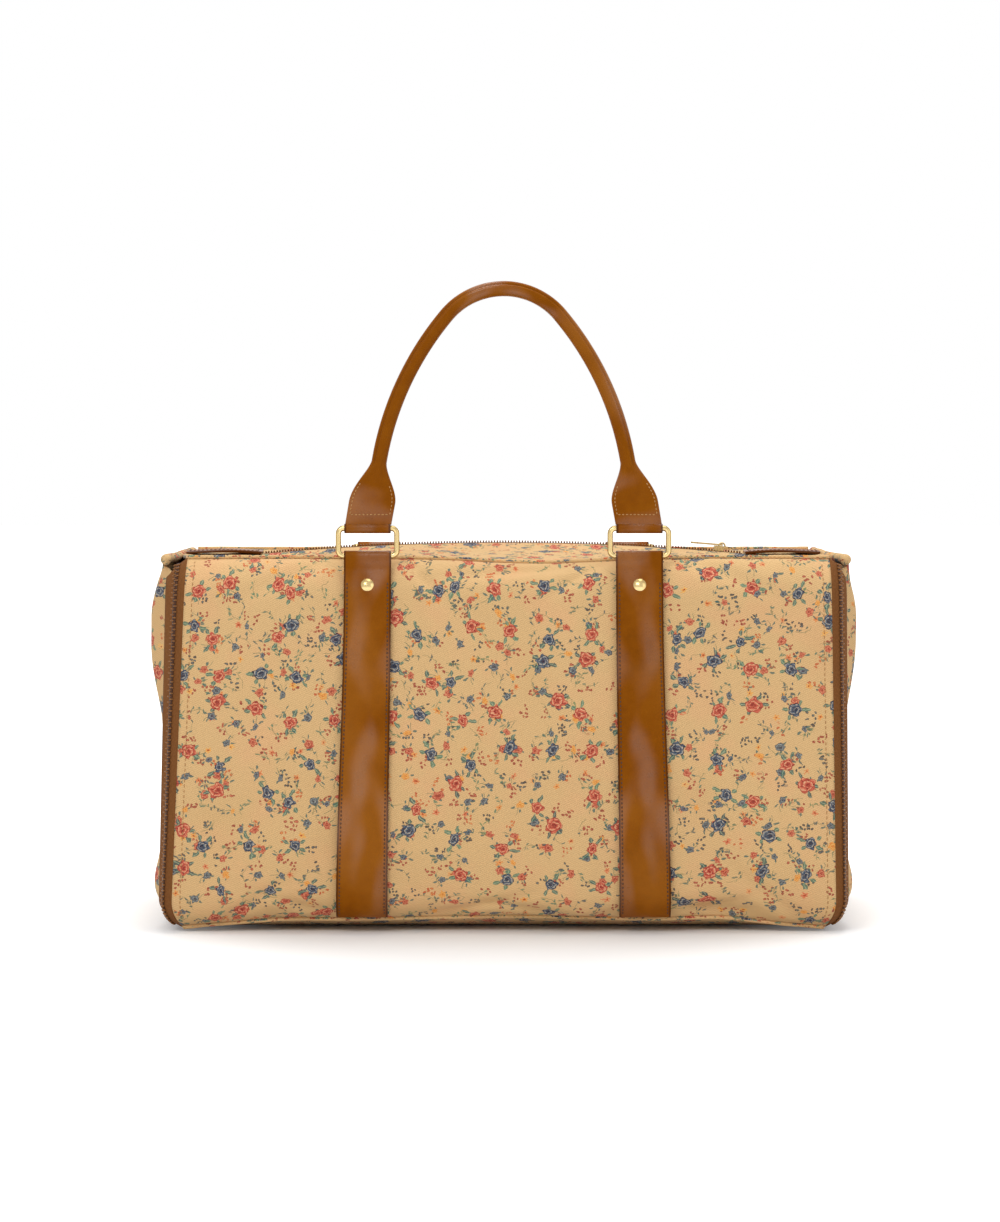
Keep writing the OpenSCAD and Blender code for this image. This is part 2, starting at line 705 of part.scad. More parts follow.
// A coil lies over its tape's edge, far enough out to clear the bend between the tapes
end_coil_lift = 0.35;
function coil_section(side) =
    let(mid = zip_mid + side * zip_along * (zip_slit + coil_r) + zip_out * (coil_seat + end_coil_lift))
    [for (j = [0:7]) mid + coil_r * [cos(45 * j), sin(45 * j)]];

module right_zip_panel_tape() {
    color(tape_brown) end_zip_sweep(panel_tape_section);
}

module right_zip_end_tape() {
    color(tape_brown) end_zip_sweep(end_tape_section);
}

module right_zip_panel_coil() {
    color(coil_brown) end_zip_sweep(coil_section(-1));
}

module right_zip_end_coil() {
    color(coil_brown) end_zip_sweep(coil_section(1));
}

module left_zip_panel_tape() {
    color(tape_brown) mirror([1, 0, 0]) end_zip_sweep(panel_tape_section);
}

module left_zip_end_tape() {
    color(tape_brown) mirror([1, 0, 0]) end_zip_sweep(end_tape_section);
}

module left_zip_panel_coil() {
    color(coil_brown) mirror([1, 0, 0]) end_zip_sweep(coil_section(-1));
}

module left_zip_end_coil() {
    color(coil_brown) mirror([1, 0, 0]) end_zip_sweep(coil_section(1));
}

// The end sliders stop at the top of the back runs, with their pulls hanging down
end_slider_z = top_arc_z - plate_l / 2 - 1;
module at_end_slider() {
    lateral = [zip_along[0], zip_along[1], 0];
    out = [zip_out[0], zip_out[1], 0];
    base = zip_mid + zip_out * end_coil_lift;
    translate([half_len + base[0], half_depth + base[1], end_slider_z])
        multmatrix([[0, lateral[0], out[0], 0], [0, lateral[1], out[1], 0], [-1, 0, 0, 0], [0, 0, 0, 1]])
        children();
}

module end_slider() {
    at_end_slider() slider(1.7);
}

module end_pull() {
    at_end_slider() translate([0, 0, pin_z]) pull();
}

module right_zip_slider() {
    color(brass) end_slider();
}

module right_zip_pull() {
    color(brass) end_pull();
}

module left_zip_slider() {
    color(brass) mirror([1, 0, 0]) end_slider();
}

module left_zip_pull() {
    color(brass) mirror([1, 0, 0]) end_pull();
}

// End ring: a leather tab on the end panel, folded round the straight bar of a D-shaped ring
end_ring_z = seam_h - end_ring_drop;
end_bore_r = end_wire_r + bore_gap;
end_loop_r = end_bore_r + 1.4;
end_ring_x = half_len + zip_far[0] + end_swell + end_wire_r + run_gap;
end_tab_t = 2.6;
// The tab stands this far off the swell of the end panel
end_tab_gap = 0.6;

module ring_tab() {
    low_z = end_ring_z;
    high_z = end_high - 4;
    stations = [for (i = [0:5]) lerp(low_z, high_z, i / 5)];
    function seat(z) = [end_x(z, (z - end_mid_z) / (end_high - end_mid_z)) + end_tab_gap, z];
    translate([0, end_tab_w / 2, 0]) rotate([90, 0, 0]) linear_extrude(end_tab_w) difference() {
        union() {
            polygon(concat([[end_ring_x, end_ring_z - end_bore_r - 0.4], [end_ring_x, end_ring_z + end_loop_r - 0.2]],
                [for (i = [2:5]) seat(stations[i]) + [end_tab_t, 0]],
                [for (i = [5:-1:0]) seat(stations[i])]));
            translate([end_ring_x, end_ring_z]) circle(end_loop_r);
        }
        translate([end_ring_x, end_ring_z]) circle(end_bore_r);
    }
}

module end_ring() {
    bar_half = end_tab_w / 2 + 1;
    bend = bar_half + end_wire_r;
    translate([end_ring_x, 0, end_ring_z]) {
        rotate([90, 0, 0]) cylinder(r = end_wire_r, h = 2 * bend, center = true);
        for (side = [-1, 1]) translate([0, side * bend, 0]) sphere(end_wire_r);
        rotate([0, 90, 0]) rotate([0, 0, -90])
            rotate_extrude(angle = 180) translate([bend, 0]) circle(end_wire_r);
    }
}

module right_ring_tab() {
    color(leather) ring_tab();
}

module left_ring_tab() {
    color(leather) mirror([1, 0, 0]) ring_tab();
}

module right_end_ring() {
    color(brass) end_ring();
}

module left_end_ring() {
    color(brass) mirror([1, 0, 0]) end_ring();
}

front_panel();
back_panel();
bottom_panel();
top_front_panel();
top_back_panel();
left_end_panel();
right_end_panel();
lining();
front_top_welt();
back_top_welt();
front_bottom_welt();
back_bottom_welt();
left_end_binding();
right_end_binding();
front_left_strap();
front_right_strap();
back_left_strap();
back_right_strap();
strap_rivets();
front_left_ring();
front_right_ring();
back_left_ring();
back_right_ring();
front_handle();
back_handle();
top_zip_front_tape();
top_zip_back_tape();
top_zip_front_coil();
top_zip_back_coil();
top_zip_slider();
top_zip_pull();
left_zip_tab();
right_zip_tab();
left_zip_panel_tape();
left_zip_end_tape();
left_zip_panel_coil();
left_zip_end_coil();
right_zip_panel_tape();
right_zip_end_tape();
right_zip_panel_coil();
right_zip_end_coil();
left_zip_slider();
left_zip_pull();
right_zip_slider();
right_zip_pull();
left_ring_tab();
right_ring_tab();
left_end_ring();
right_end_ring();
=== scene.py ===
import bpy
import bmesh
from math import copysign, cos, exp, hypot, pi, radians, sin, sqrt, tan
from mathutils import Matrix, Vector, noise


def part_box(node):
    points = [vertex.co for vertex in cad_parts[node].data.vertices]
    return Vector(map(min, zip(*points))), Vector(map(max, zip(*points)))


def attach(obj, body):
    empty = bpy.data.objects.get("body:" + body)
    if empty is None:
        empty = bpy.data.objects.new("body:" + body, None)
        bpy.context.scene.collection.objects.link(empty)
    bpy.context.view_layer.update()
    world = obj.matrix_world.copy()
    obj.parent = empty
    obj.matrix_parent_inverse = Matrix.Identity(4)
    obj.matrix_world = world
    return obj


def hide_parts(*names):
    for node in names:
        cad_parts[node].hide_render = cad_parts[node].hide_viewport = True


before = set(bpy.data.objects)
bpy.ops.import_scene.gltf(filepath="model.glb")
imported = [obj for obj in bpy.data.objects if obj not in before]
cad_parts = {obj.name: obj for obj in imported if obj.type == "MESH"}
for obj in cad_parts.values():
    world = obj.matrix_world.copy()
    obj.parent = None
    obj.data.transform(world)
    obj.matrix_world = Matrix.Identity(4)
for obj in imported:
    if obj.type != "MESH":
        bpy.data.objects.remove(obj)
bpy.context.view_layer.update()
scene = bpy.context.scene
scene.view_settings.view_transform = "Standard"

# Camera: it stands well back and a little above the bag, looking slightly down at it.
# Rows and columns are those of the photo, and one pixel is this much at the front of the bag.
picture_w = 1000
picture_h = 1222
metres_per_pixel = 0.000785
middle_column = 503.5
floor_row = 937
horizon_row = 448
front_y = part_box("front_panel")[0][1]
stand_off = 2.7
eye_height = (floor_row - horizon_row) * metres_per_pixel
aim_x = (picture_w / 2 - middle_column) * metres_per_pixel
aim_z = (floor_row - picture_h / 2) * metres_per_pixel
camera_data = bpy.data.cameras.new("camera")
camera = bpy.data.objects.new("camera", camera_data)
scene.collection.objects.link(camera)
camera.location = (aim_x, front_y - stand_off, eye_height)
aim = Vector((aim_x, front_y, aim_z)) - camera.location
camera.rotation_euler = aim.to_track_quat("-Z", "Y").to_euler()
camera_data.sensor_width = 36
camera_data.lens = camera_data.sensor_width * aim.length / (picture_h * metres_per_pixel)
camera_data.clip_end = 50
scene.camera = camera


# Floor and light: a white studio sweep under broad, even light, with a soft shadow where the bag stands.
# Here and below, materials are written as sums over Wires.
# A Wire is a number that flows through the nodes of a shader.
def add_node(beside, kind, **sockets):
    node = beside.id_data.nodes.new("ShaderNode" + kind)
    for name, value in sockets.items():
        feed(node.inputs[name.replace("_", " ")], value)
    return node


def feed(socket, value):
    if isinstance(value, Wire):
        value = value.socket
    if isinstance(value, bpy.types.NodeSocket):
        socket.id_data.links.new(value, socket)
    else:
        socket.default_value = value


def math_step(operation):
    def run(wire, *others):
        node = add_node(wire, "Math")
        node.operation = operation
        for socket, value in zip(node.inputs, (wire, *others)):
            feed(socket, value)
        return Wire(node.outputs[0])
    return run


class Wire:
    __add__ = math_step("ADD")
    __sub__ = math_step("SUBTRACT")
    __mul__ = math_step("MULTIPLY")
    __truediv__ = math_step("DIVIDE")
    larger = math_step("MAXIMUM")
    over = math_step("GREATER_THAN")
    root = math_step("SQRT")
    size = math_step("ABSOLUTE")
    whole = math_step("FLOOR")
    fraction = math_step("FRACT")
    sin = math_step("SINE")
    cos = math_step("COSINE")
    angle_from = math_step("ARCTAN2")

    def __init__(self, socket):
        self.socket = socket
        self.id_data = socket.id_data

    def between(self, low, high):
        node = add_node(self, "MapRange", Value=self, From_Min=low, From_Max=high)
        node.interpolation_type = "SMOOTHSTEP"
        return Wire(node.outputs["Result"])


def length_of(x, y):
    return (x * x + y * y).root()


def start_material(name, **sockets):
    material = bpy.data.materials.new(name)
    material.use_nodes = True
    shader = material.node_tree.nodes["Principled BSDF"]
    for socket, value in sockets.items():
        shader.inputs[socket.replace("_", " ")].default_value = value
    return material, shader


def surface_place(shader):
    return add_node(shader, "TexCoord").outputs["Object"]


def split_place(place, scale):
    node = add_node(place, "SeparateXYZ", Vector=place)
    return [Wire(socket) * scale for socket in node.outputs]


def seen_by_eye(shader):
    path = add_node(shader, "LightPath")
    camera_ray = Wire(path.outputs["Is Camera Ray"])
    glossy_ray = Wire(path.outputs["Is Glossy Ray"])
    clear_ray = Wire(path.outputs["Is Transmission Ray"])
    return camera_ray.larger(glossy_ray).larger(clear_ray)


white = (1, 1, 1, 1)
floor_half = 14
shadow_near = 0.22
shadow_far = 0.62
floor_mesh = bmesh.new()
bmesh.ops.create_grid(floor_mesh, x_segments=1, y_segments=1, size=floor_half)
floor_data = bpy.data.meshes.new("studio_floor")
floor_mesh.to_mesh(floor_data)
floor_mesh.free()
studio_floor = bpy.data.objects.new("studio_floor", floor_data)
scene.collection.objects.link(studio_floor)
floor_paint, shader = start_material("floor_paint", Roughness=0.9, Base_Color=(0.86, 0.86, 0.86, 1),
                                     Specular_IOR_Level=0.0, Emission_Color=white)
floor_x, floor_y, _ = split_place(surface_place(shader), 1)
floor_far = length_of(floor_x * 1.25, floor_y * 0.9).between(shadow_near, shadow_far)
feed(shader.inputs["Emission Strength"], seen_by_eye(shader) * floor_far * 0.98)
floor_data.materials.append(floor_paint)

lit_level = 0.55
world = bpy.data.worlds.new("studio")
scene.world = world
world.use_nodes = True
sky = world.node_tree.nodes["Background"]
sky.inputs["Color"].default_value = white
feed(sky.inputs["Strength"], seen_by_eye(sky) * (1 - lit_level) + lit_level)


def soft_box(name, place, width, height, power):
    lamp_data = bpy.data.lights.new(name, "AREA")
    lamp_data.shape = "RECTANGLE"
    lamp_data.size = width
    lamp_data.size_y = height
    lamp_data.energy = power
    lamp = bpy.data.objects.new(name, lamp_data)
    lamp.location = place
    lamp.rotation_euler = (bag_middle - Vector(place)).to_track_quat("-Z", "Y").to_euler()
    scene.collection.objects.link(lamp)


bag_middle = Vector((0, 0, 0.2))
soft_box("key_light", (-0.9, -1.9, 1.7), 1.3, 0.9, 19)
soft_box("fill_light", (1.7, -1.3, 0.9), 1.0, 1.2, 5)
soft_box("top_light", (0.1, 0.2, 2.3), 1.6, 1.2, 27)


# Printed twill: warm tan cotton with a small scattered print in red, blue, teal, coral and yellow.
# Each kind of motif has its own loose grid of places, and a motif turns by chance at its place.
# All sizes in the print are millimetres of the cut cloth.
def srgb(*parts):
    def linear(part):
        share = part / 255
        return share / 12.92 if share <= 0.04045 else ((share + 0.055) / 1.055) ** 2.4
    return (*map(linear, parts), 1.0)


def cut_place(shader):
    node = add_node(shader, "UVMap")
    node.uv_map = "cut"
    return node.outputs["UV"]


def noise_wire(place, scale, detail=2.0):
    return Wire(add_node(place, "TexNoise", Vector=place, Scale=scale, Detail=detail).outputs["Fac"])


def lay_over(under, over, share):
    node = add_node(share, "Mix")
    node.data_type = "RGBA"
    feed(node.inputs["Factor"], share)
    feed(node.inputs["A"], under)
    feed(node.inputs["B"], over)
    return node.outputs["Result"]


def tint(shade, *colours):
    node = add_node(shade, "ValToRGB", Fac=shade)
    stops = node.color_ramp.elements
    while len(stops) < len(colours):
        stops.new(0.5)
    for index, colour in enumerate(colours):
        stops[index].position = index / (len(colours) - 1)
        stops[index].color = srgb(*colour)
    return node.outputs["Color"]


def raise_surface(shader, height, distance, strength):
    node = add_node(shader, "Bump", Strength=strength, Distance=distance, Height=height)
    feed(shader.inputs["Normal"], node.outputs["Normal"])


full_turn = 2 * pi


def scatter(x, y, spacing, shift, jitter):
    """This spot as the nearest motif sees it, turned by chance, three chances, and the motif's place."""
    join = add_node(x, "CombineXYZ", X=x / spacing + shift, Y=y / spacing + shift * 1.7)
    spots = add_node(x, "TexVoronoi", Vector=join.outputs[0], Scale=1.0, Randomness=jitter)
    spots.voronoi_dimensions = "2D"
    gap = add_node(x, "VectorMath")
    gap.operation = "SUBTRACT"
    feed(gap.inputs[0], join.outputs[0])
    feed(gap.inputs[1], spots.outputs["Position"])
    across, along, _ = split_place(gap.outputs[0], spacing)
    colour_parts = add_node(x, "SeparateColor", Color=spots.outputs["Color"])
    chances = [Wire(socket) for socket in colour_parts.outputs]
    turn = chances[0] * full_turn
    turned_x = across * turn.cos() + along * turn.sin()
    turned_y = along * turn.cos() - across * turn.sin()
    return turned_x, turned_y, chances, (x - across, y - along)


def inside(edge, gap, blur):
    """1 where a gap is smaller than an edge, falling to 0 over the blur."""
    return (gap * -1 + edge).between(0.0, blur)


def leaf(x, y, angle, reach, half_length, half_width):
    """How far a spot lies inside a leaf, and how far it lies off the leaf's rib."""
    along = x * cos(angle) + y * sin(angle)
    across = (y * cos(angle) - x * sin(angle)).size()
    away = (along - reach) / half_length
    edge = (away * away * -1 + 1) * half_width - across
    return edge.between(0.0, 0.45), across.between(0.1, 0.4)


def rose(x, y, radius, twist):
    """How far a spot lies inside a rose, and how light its petal is there."""
    away = length_of(x, y) / radius
    angle = y.angle_from(x)
    rim = (angle * 5 + twist * full_turn).cos() * 0.1 + 0.9
    coil = away * 2.6 + angle / full_turn + twist
    fold = (angle * 2.5 + coil.whole() * 1.9).cos().size().between(0.0, 0.45)
    heart = away.between(0.08, 0.36)
    border = (rim - away).between(0.02, 0.2)
    shade = (coil.fraction() * 0.62 + fold * 0.38) * (heart * 0.55 + 0.45) * (border * 0.6 + 0.4)
    return (rim - away).between(0.0, 0.09), shade


def print_berries(x, y, colour):
    dot_x, dot_y, dot_luck, (at_x, at_y) = scatter(x, y, 2.9, 1.3, 0.75)
    patch_x, patch_y, luck, _ = scatter(at_x, at_y, 17.5, 3.7, 0.85)
    patch = inside(5.6, length_of(patch_x, patch_y * 1.7 - patch_x * patch_x * 0.12), 0.2)
    there = patch * luck[1].over(0.12) * dot_luck[1].over(0.14)
    gap = length_of(dot_x, dot_y * 1.15)
    dark = lay_over(srgb(142, 42, 44), srgb(32, 48, 62), luck[2].over(0.5))
    dark = lay_over(dark, srgb(190, 76, 48), luck[2].over(0.86))
    pale = lay_over(srgb(222, 116, 88), srgb(98, 124, 128), luck[2].over(0.5))
    pale = lay_over(pale, srgb(238, 168, 92), luck[2].over(0.86))
    berry = lay_over(dark, pale, inside(0.75, gap, 0.4) * dot_luck[2])
    return lay_over(colour, berry, inside(1.22, gap, 0.3) * there * 0.88)


def print_leaves(x, y, colour):
    sprig = (19.0, 9.4, 0.8)
    bend = 0.05
    missing = 0.25
    blade_x, blade_y, blade_luck, (at_x, at_y) = scatter(x, y, 3.7, 6.1, 0.8)
    patch_x, patch_y, luck, _ = scatter(at_x, at_y, *sprig)
    patch = inside(2.6, (patch_y - patch_x * patch_x * bend).size(), 0.2) * inside(6.5, patch_x.size(), 0.2)
    there = patch * luck[1].over(missing) * blade_luck[1].over(0.15)
    blade, _ = leaf(blade_x, blade_y, 0.0, 0.0, 2.1, 0.85)
    leaf_colour = tint(luck[2], (52, 96, 98), (96, 134, 104), (58, 84, 92), (118, 138, 96))
    stem_x, stem_y, stem_luck, _ = scatter(x, y, *sprig)
    stem = inside(0.42, (stem_y - stem_x * stem_x * bend).size(), 0.3)
    stem = stem * inside(7.5, stem_x.size(), 0.6) * stem_luck[1].over(missing)
    colour = lay_over(colour, srgb(110, 118, 84), stem * 0.62)
    return lay_over(colour, leaf_colour, blade * there * 0.85)


def print_buds(x, y, colour):
    bud_x, bud_y, luck, _ = scatter(x, y, 20.5, 14.9, 0.85)
    there = luck[1].over(0.18)
    stem = inside(0.45, (bud_y - bud_x * bud_x * 0.06).size(), 0.3)
    stem = stem * (bud_x - 1.5).between(0.0, 0.4) * inside(8.5, bud_x, 0.6)
    colour = lay_over(colour, srgb(96, 116, 90), stem * there * 0.75)
    for angle, reach, half_length in ((0.75, 5.0, 2.1), (-0.4, 5.8, 2.3), (2.6, 3.7, 1.7)):
        blade, _ = leaf(bud_x, bud_y, angle, reach, half_length, 1.0)
        colour = lay_over(colour, srgb(62, 104, 100), blade * there * 0.85)
    bloom, shade = rose(bud_x, bud_y * (luck[2] * 0.4 + 0.9), luck[1] * 1.6 + 2.5, luck[2])
    red = tint(shade, (104, 26, 32), (184, 64, 54), (236, 156, 118))
    navy = tint(shade, (14, 24, 40), (42, 72, 94), (150, 164, 160))
    amber = tint(shade, (198, 92, 36), (232, 150, 66), (240, 190, 110))
    bud = lay_over(red, navy, luck[2].over(0.46))
    bud = lay_over(bud, amber, luck[2].over(0.84))
    return lay_over(colour, bud, bloom * there * 0.9)


def print_blossoms(x, y, colour):
    petal_x, petal_y, luck, _ = scatter(x, y, 24.0, 21.4, 0.85)
    away = length_of(petal_x, petal_y)
    petals = (petal_y.angle_from(petal_x) * 2.5).cos().size()
    there = luck[1].over(0.4)
    blossom = (petals * 1.7 + 1.2 - away).between(0.0, 0.6) * there
    petal_colour = tint(luck[2], (240, 178, 84), (236, 150, 70), (216, 104, 76), (238, 186, 110))
    colour = lay_over(colour, petal_colour, blossom * 0.78)
    return lay_over(colour, srgb(176, 74, 44), inside(0.9, away, 0.5) * there)


def print_roses(x, y, colour):
    rose_x, rose_y, luck, _ = scatter(x, y, 33.0, 5.3, 0.72)
    there = luck[1].over(0.08)
    green = tint(luck[1], (40, 82, 88), (88, 128, 104), (44, 70, 82))
    for angle, reach, half_length in ((0.3, 8.0, 3.7), (1.35, 7.2, 2.8), (3.5, 8.2, 3.9), (4.4, 7.0, 2.6)):
        blade, off_rib = leaf(rose_x, rose_y, angle, reach, half_length, 1.75)
        ribbed = lay_over(srgb(150, 170, 140), green, off_rib)
        colour = lay_over(colour, ribbed, blade * there * 0.9)
    bloom, shade = rose(rose_x, rose_y * (luck[2] * 0.3 + 0.92), luck[1] * 2.0 + 5.2, luck[2] * 3)
    red = tint(shade, (88, 22, 32), (160, 50, 48), (208, 98, 78), (238, 182, 140))
    blue = tint(shade, (12, 18, 32), (26, 44, 70), (62, 92, 116), (196, 184, 164))
    return lay_over(colour, lay_over(red, blue, luck[2].over(0.5)), bloom * there * 0.96)


millimetres = 1000
rib_pitch = 1.7
rib_slant = 0.45
twill, shader = start_material("printed_twill", Roughness=0.86, Sheen_Weight=0.08, Sheen_Roughness=0.5,
                               Specular_IOR_Level=0.12)
place = cut_place(shader)
twill_x, twill_y, _ = split_place(place, millimetres)
blush = noise_wire(place, 22.0, 3.0).between(0.45, 0.72)
wear = noise_wire(place, 7.0).between(0.5, 0.8) * 0.6
colour = lay_over(lay_over(srgb(219, 181, 128), srgb(224, 178, 128), blush), srgb(204, 165, 112), wear)
shake_x = (noise_wire(place, 400.0) - 0.5) * 2.3 + (noise_wire(place, 95.0) - 0.5) * 9.0
shake_y = (noise_wire(place, 440.0, 3.0) - 0.5) * 2.3
for layer in (print_berries, print_leaves, print_blossoms, print_buds, print_roses):
    colour = layer(twill_x + shake_x, twill_y + shake_y, colour)
rib_sway = (noise_wire(place, 300.0) - 0.5) * 2.0
rib = ((twill_y - twill_x * rib_slant) * (full_turn / rib_pitch) + rib_sway).sin()
yarn = noise_wire(place, 1500.0)
groove_shade = rib.between(-0.2, 1.1) * 0.2 + yarn.between(0.5, 0.8) * 0.12
feed(shader.inputs["Base Color"], lay_over(colour, srgb(146, 106, 62), groove_shade))
raise_surface(shader, rib * 0.5 + yarn * 0.8, 0.00022, 0.55)

# Front and back panels: padded twill, cut long enough to roll over the top and bottom edges of the bag.
# They swell in the middle, lift off the floor along the lower seam, and pucker where the straps pull.
# Each is a flat grid laid over the real surface, with the cut cloth's own metres as its UV map.
half_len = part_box("front_panel")[1][0]
half_depth = 0.135
seam_h = 0.297
panel_t = 0.0024
bottom_r = 0.030
top_r = 0.036
bottom_a = radians(60)
top_a = radians(62)
panel_swell = 0.006
seam_lift = 0.008
seam_dip = 0.004
top_arc_z = seam_h - top_r * sin(top_a)
lower_arc_l = bottom_r * bottom_a
wall_l = top_arc_z - bottom_r
upper_arc_l = top_r * top_a
front_l = lower_arc_l + wall_l + upper_arc_l
strap_x = 0.107
strap_w = 0.037
strap_splay = 0.005


def smooth(share):
    held = min(max(share, 0.0), 1.0)
    return held * held * (3 - 2 * held)


def lerp(start, end, share):
    return start + (end - start) * share


def bell(gap, half):
    return exp(-(gap / half) ** 2)


def front_at(s):
    """Y, Z and outward direction of the smooth front, a length s above the lower seam."""
    if s < lower_arc_l:
        a = bottom_a * (1 - s / lower_arc_l)
        return bottom_r - half_depth - bottom_r * cos(a), bottom_r - bottom_r * sin(a), -cos(a), -sin(a)
    if s < lower_arc_l + wall_l:
        return -half_depth, bottom_r + s - lower_arc_l, -1.0, 0.0
    a = top_a * (s - lower_arc_l - wall_l) / upper_arc_l
    return top_r - half_depth - top_r * cos(a), top_arc_z + top_r * sin(a), -cos(a), sin(a)


def seam_rise(u, k):
    low = max(0.0, 1 - k / 0.25) ** 2
    high = max(0.0, 1 - (1 - k) / 0.15) ** 2
    return seam_lift * (1 - u * u) * low - seam_dip * bell(u - 0.1, 0.24) * high


draw_foot = -0.005
draw_left = 0.046
draw_right = 0.016
corner_round = 0.011
corner_h = 0.026
corner_run = 0.03


def settle(point, spread_back=0.0):
    """Draws the upper front edges in, more on the left, and rounds the ends under at their lower corners.

    The soft bag stands like that. A spread_back of 1 undoes part of the drawing in.
    """
    x, y, z = point
    forward = smooth((-y - 0.02) / 0.1)
    draw_in = lerp(draw_foot, draw_left if x < 0 else draw_right, z / seam_h) * forward
    near_end = smooth((abs(x) - half_len + corner_run) / corner_run)
    under = corner_round * max(0.0, 1 - z / corner_h) ** 2 * near_end
    return Vector((x * (1 - draw_in * (1 - 0.45 * spread_back)) - copysign(under, x), y, z))


# Soft hollows: place along the bag, share of the height, slant, half length, half width and depth
hollows = (
    (0.36, 0.055, 0.42, 0.045, 0.0045, 0.0030),
    (0.47, 0.075, -0.30, 0.040, 0.0050, 0.0028),
    (0.60, 0.05, 0.35, 0.035, 0.0040, 0.0026),
    (0.10, 0.045, -0.22, 0.050, 0.0050, 0.0024),
    (-0.08, 0.06, 0.30, 0.045, 0.0045, 0.0024),
    (-0.58, 0.06, -0.35, 0.040, 0.0050, 0.0026),
    (-0.74, 0.09, 0.60, 0.040, 0.0060, 0.0024),
    (0.80, 0.10, -0.65, 0.040, 0.0060, 0.0026),
    (-0.26, 0.93, -0.75, 0.030, 0.0050, 0.0022),
    (0.24, 0.94, 0.60, 0.032, 0.0050, 0.0024),
    (0.02, 0.95, 0.12, 0.060, 0.0060, 0.0026),
    (-0.70, 0.92, 0.40, 0.045, 0.0070, 0.0020),
    (0.72, 0.92, -0.40, 0.045, 0.0070, 0.0022),
)
hollow_gain = 1.4
swell_height = 0.0052
ripple_height = 0.0015
pillow_height = 0.0016


def ripple(*place):
    return noise.noise(Vector(place))


def slack(x, s, seed):
    k = s / front_l
    strap_gap = abs(abs(x) - strap_x - strap_splay * (1 - k))
    free = smooth((min(strap_gap, 0.2) - strap_w * 0.55) / 0.03)
    edge = smooth(k / 0.04) * smooth((1 - k) / 0.03) * smooth((half_len - abs(x)) / 0.02)
    height = ripple(x * 9, s * 7, seed) * swell_height
    height += ripple(x * 24 + 4, s * 16, seed) * ripple_height
    height += pillow_height * free
    for place, share, slant, half_length, half_width, depth in hollows:
        dx = x - place * half_len
        dz = s - share * front_l
        along = dx * cos(slant) + dz * sin(slant)
        across = dz * cos(slant) - dx * sin(slant)
        height -= hollow_gain * depth * bell(across, half_width) * bell(along, half_length)
    return height * edge * lerp(0.12, 1.0, free)


# Tucks above the lower seam: place along the bag, half width and depth
tucks = ((0.172, 0.036, 0.008), (-0.175, 0.04, 0.005), (0.01, 0.05, 0.002))
tuck_s = 0.013
tuck_half = 0.014
cloth_drop = 0.0003


def front_pt(x, s, off=0.0):
    u = x / half_len
    y, z, out_y, out_z = front_at(s)
    k = s / front_l
    tuck = bell(s - tuck_s, tuck_half) * sum(depth * bell(x - place, half) for place, half, depth in tucks)
    w = off + panel_swell * (1 - u * u) * sin(pi * k) - tuck
    return Vector((x, y + out_y * w, z + out_z * w + seam_rise(u, k)))


def laid_grid(columns, rows, place, spread, flip=False):
    mesh = bmesh.new()
    bmesh.ops.create_grid(mesh, x_segments=columns, y_segments=rows, size=1)
    layer = mesh.loops.layers.uv.new("cut")
    for face in mesh.faces:
        for loop in face.loops:
            loop[layer].uv = spread(loop.vert.co.x, loop.vert.co.y)
    for vert in mesh.verts:
        vert.co = place(vert.co.x, vert.co.y)
    if flip:
        bmesh.ops.reverse_faces(mesh, faces=mesh.faces)
    return mesh


def finish_piece(mesh, name, material, nodes=(), wall=0.0, round_edge=0.0, wall_side=-1, body="shell"):
    data = bpy.data.meshes.new(name)
    mesh.to_mesh(data)
    mesh.free()
    data.shade_smooth()
    piece = bpy.data.objects.new(name, data)
    scene.collection.objects.link(piece)
    data.materials.append(material)
    if wall:
        thick = piece.modifiers.new("wall", "SOLIDIFY")
        thick.thickness = wall
        thick.offset = wall_side
        thick.use_even_offset = True
    if round_edge:
        edge = piece.modifiers.new("round_edge", "BEVEL")
        edge.width = round_edge
        edge.segments = 3
        edge.limit_method = "ANGLE"
        edge.angle_limit = radians(50)
    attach(piece, body)
    if nodes:
        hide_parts(*nodes)
    return piece


def stand(point, side):
    return settle((point.x, point.y * side, point.z))


def sew_panel(mesh, name, node):
    panel = finish_piece(mesh, name, twill, [node], panel_t)


def long_panel(name, node, side, seed):
    def place(a, b):
        x = a * half_len
        s = (b + 1) / 2 * front_l
        return stand(front_pt(x, s, slack(x, s, seed) - cloth_drop), side)

    def spread(a, b):
        return a * half_len + seed * 0.9, (b + 1) / 2 * front_l

    mesh = laid_grid(210, 120, place, spread, side < 0)
    sew_panel(mesh, name, node)


long_panel("front_cloth", "front_panel", 1, 0.0)
long_panel("back_cloth", "back_panel", -1, 1.0)


# Edge stitching: a row of tan thread along each end of the long panels.
# It holds the panel to the tape of the end zip, and follows the slack of the cloth.
def make_thread(name, dark, pale):
    material, shader = start_material(name, Roughness=0.6)
    twist = noise_wire(surface_place(shader), 1800.0)
    feed(shader.inputs["Base Color"], tint(twist, dark, pale))
    return material


def add_bead(mesh, place, axes, sizes):
    turn = Matrix(axes).transposed().to_4x4()
    bmesh.ops.create_uvsphere(mesh, u_segments=6, v_segments=4, radius=1,
                              matrix=Matrix.Translation(place) @ turn @ Matrix.Diagonal((*sizes, 1)))


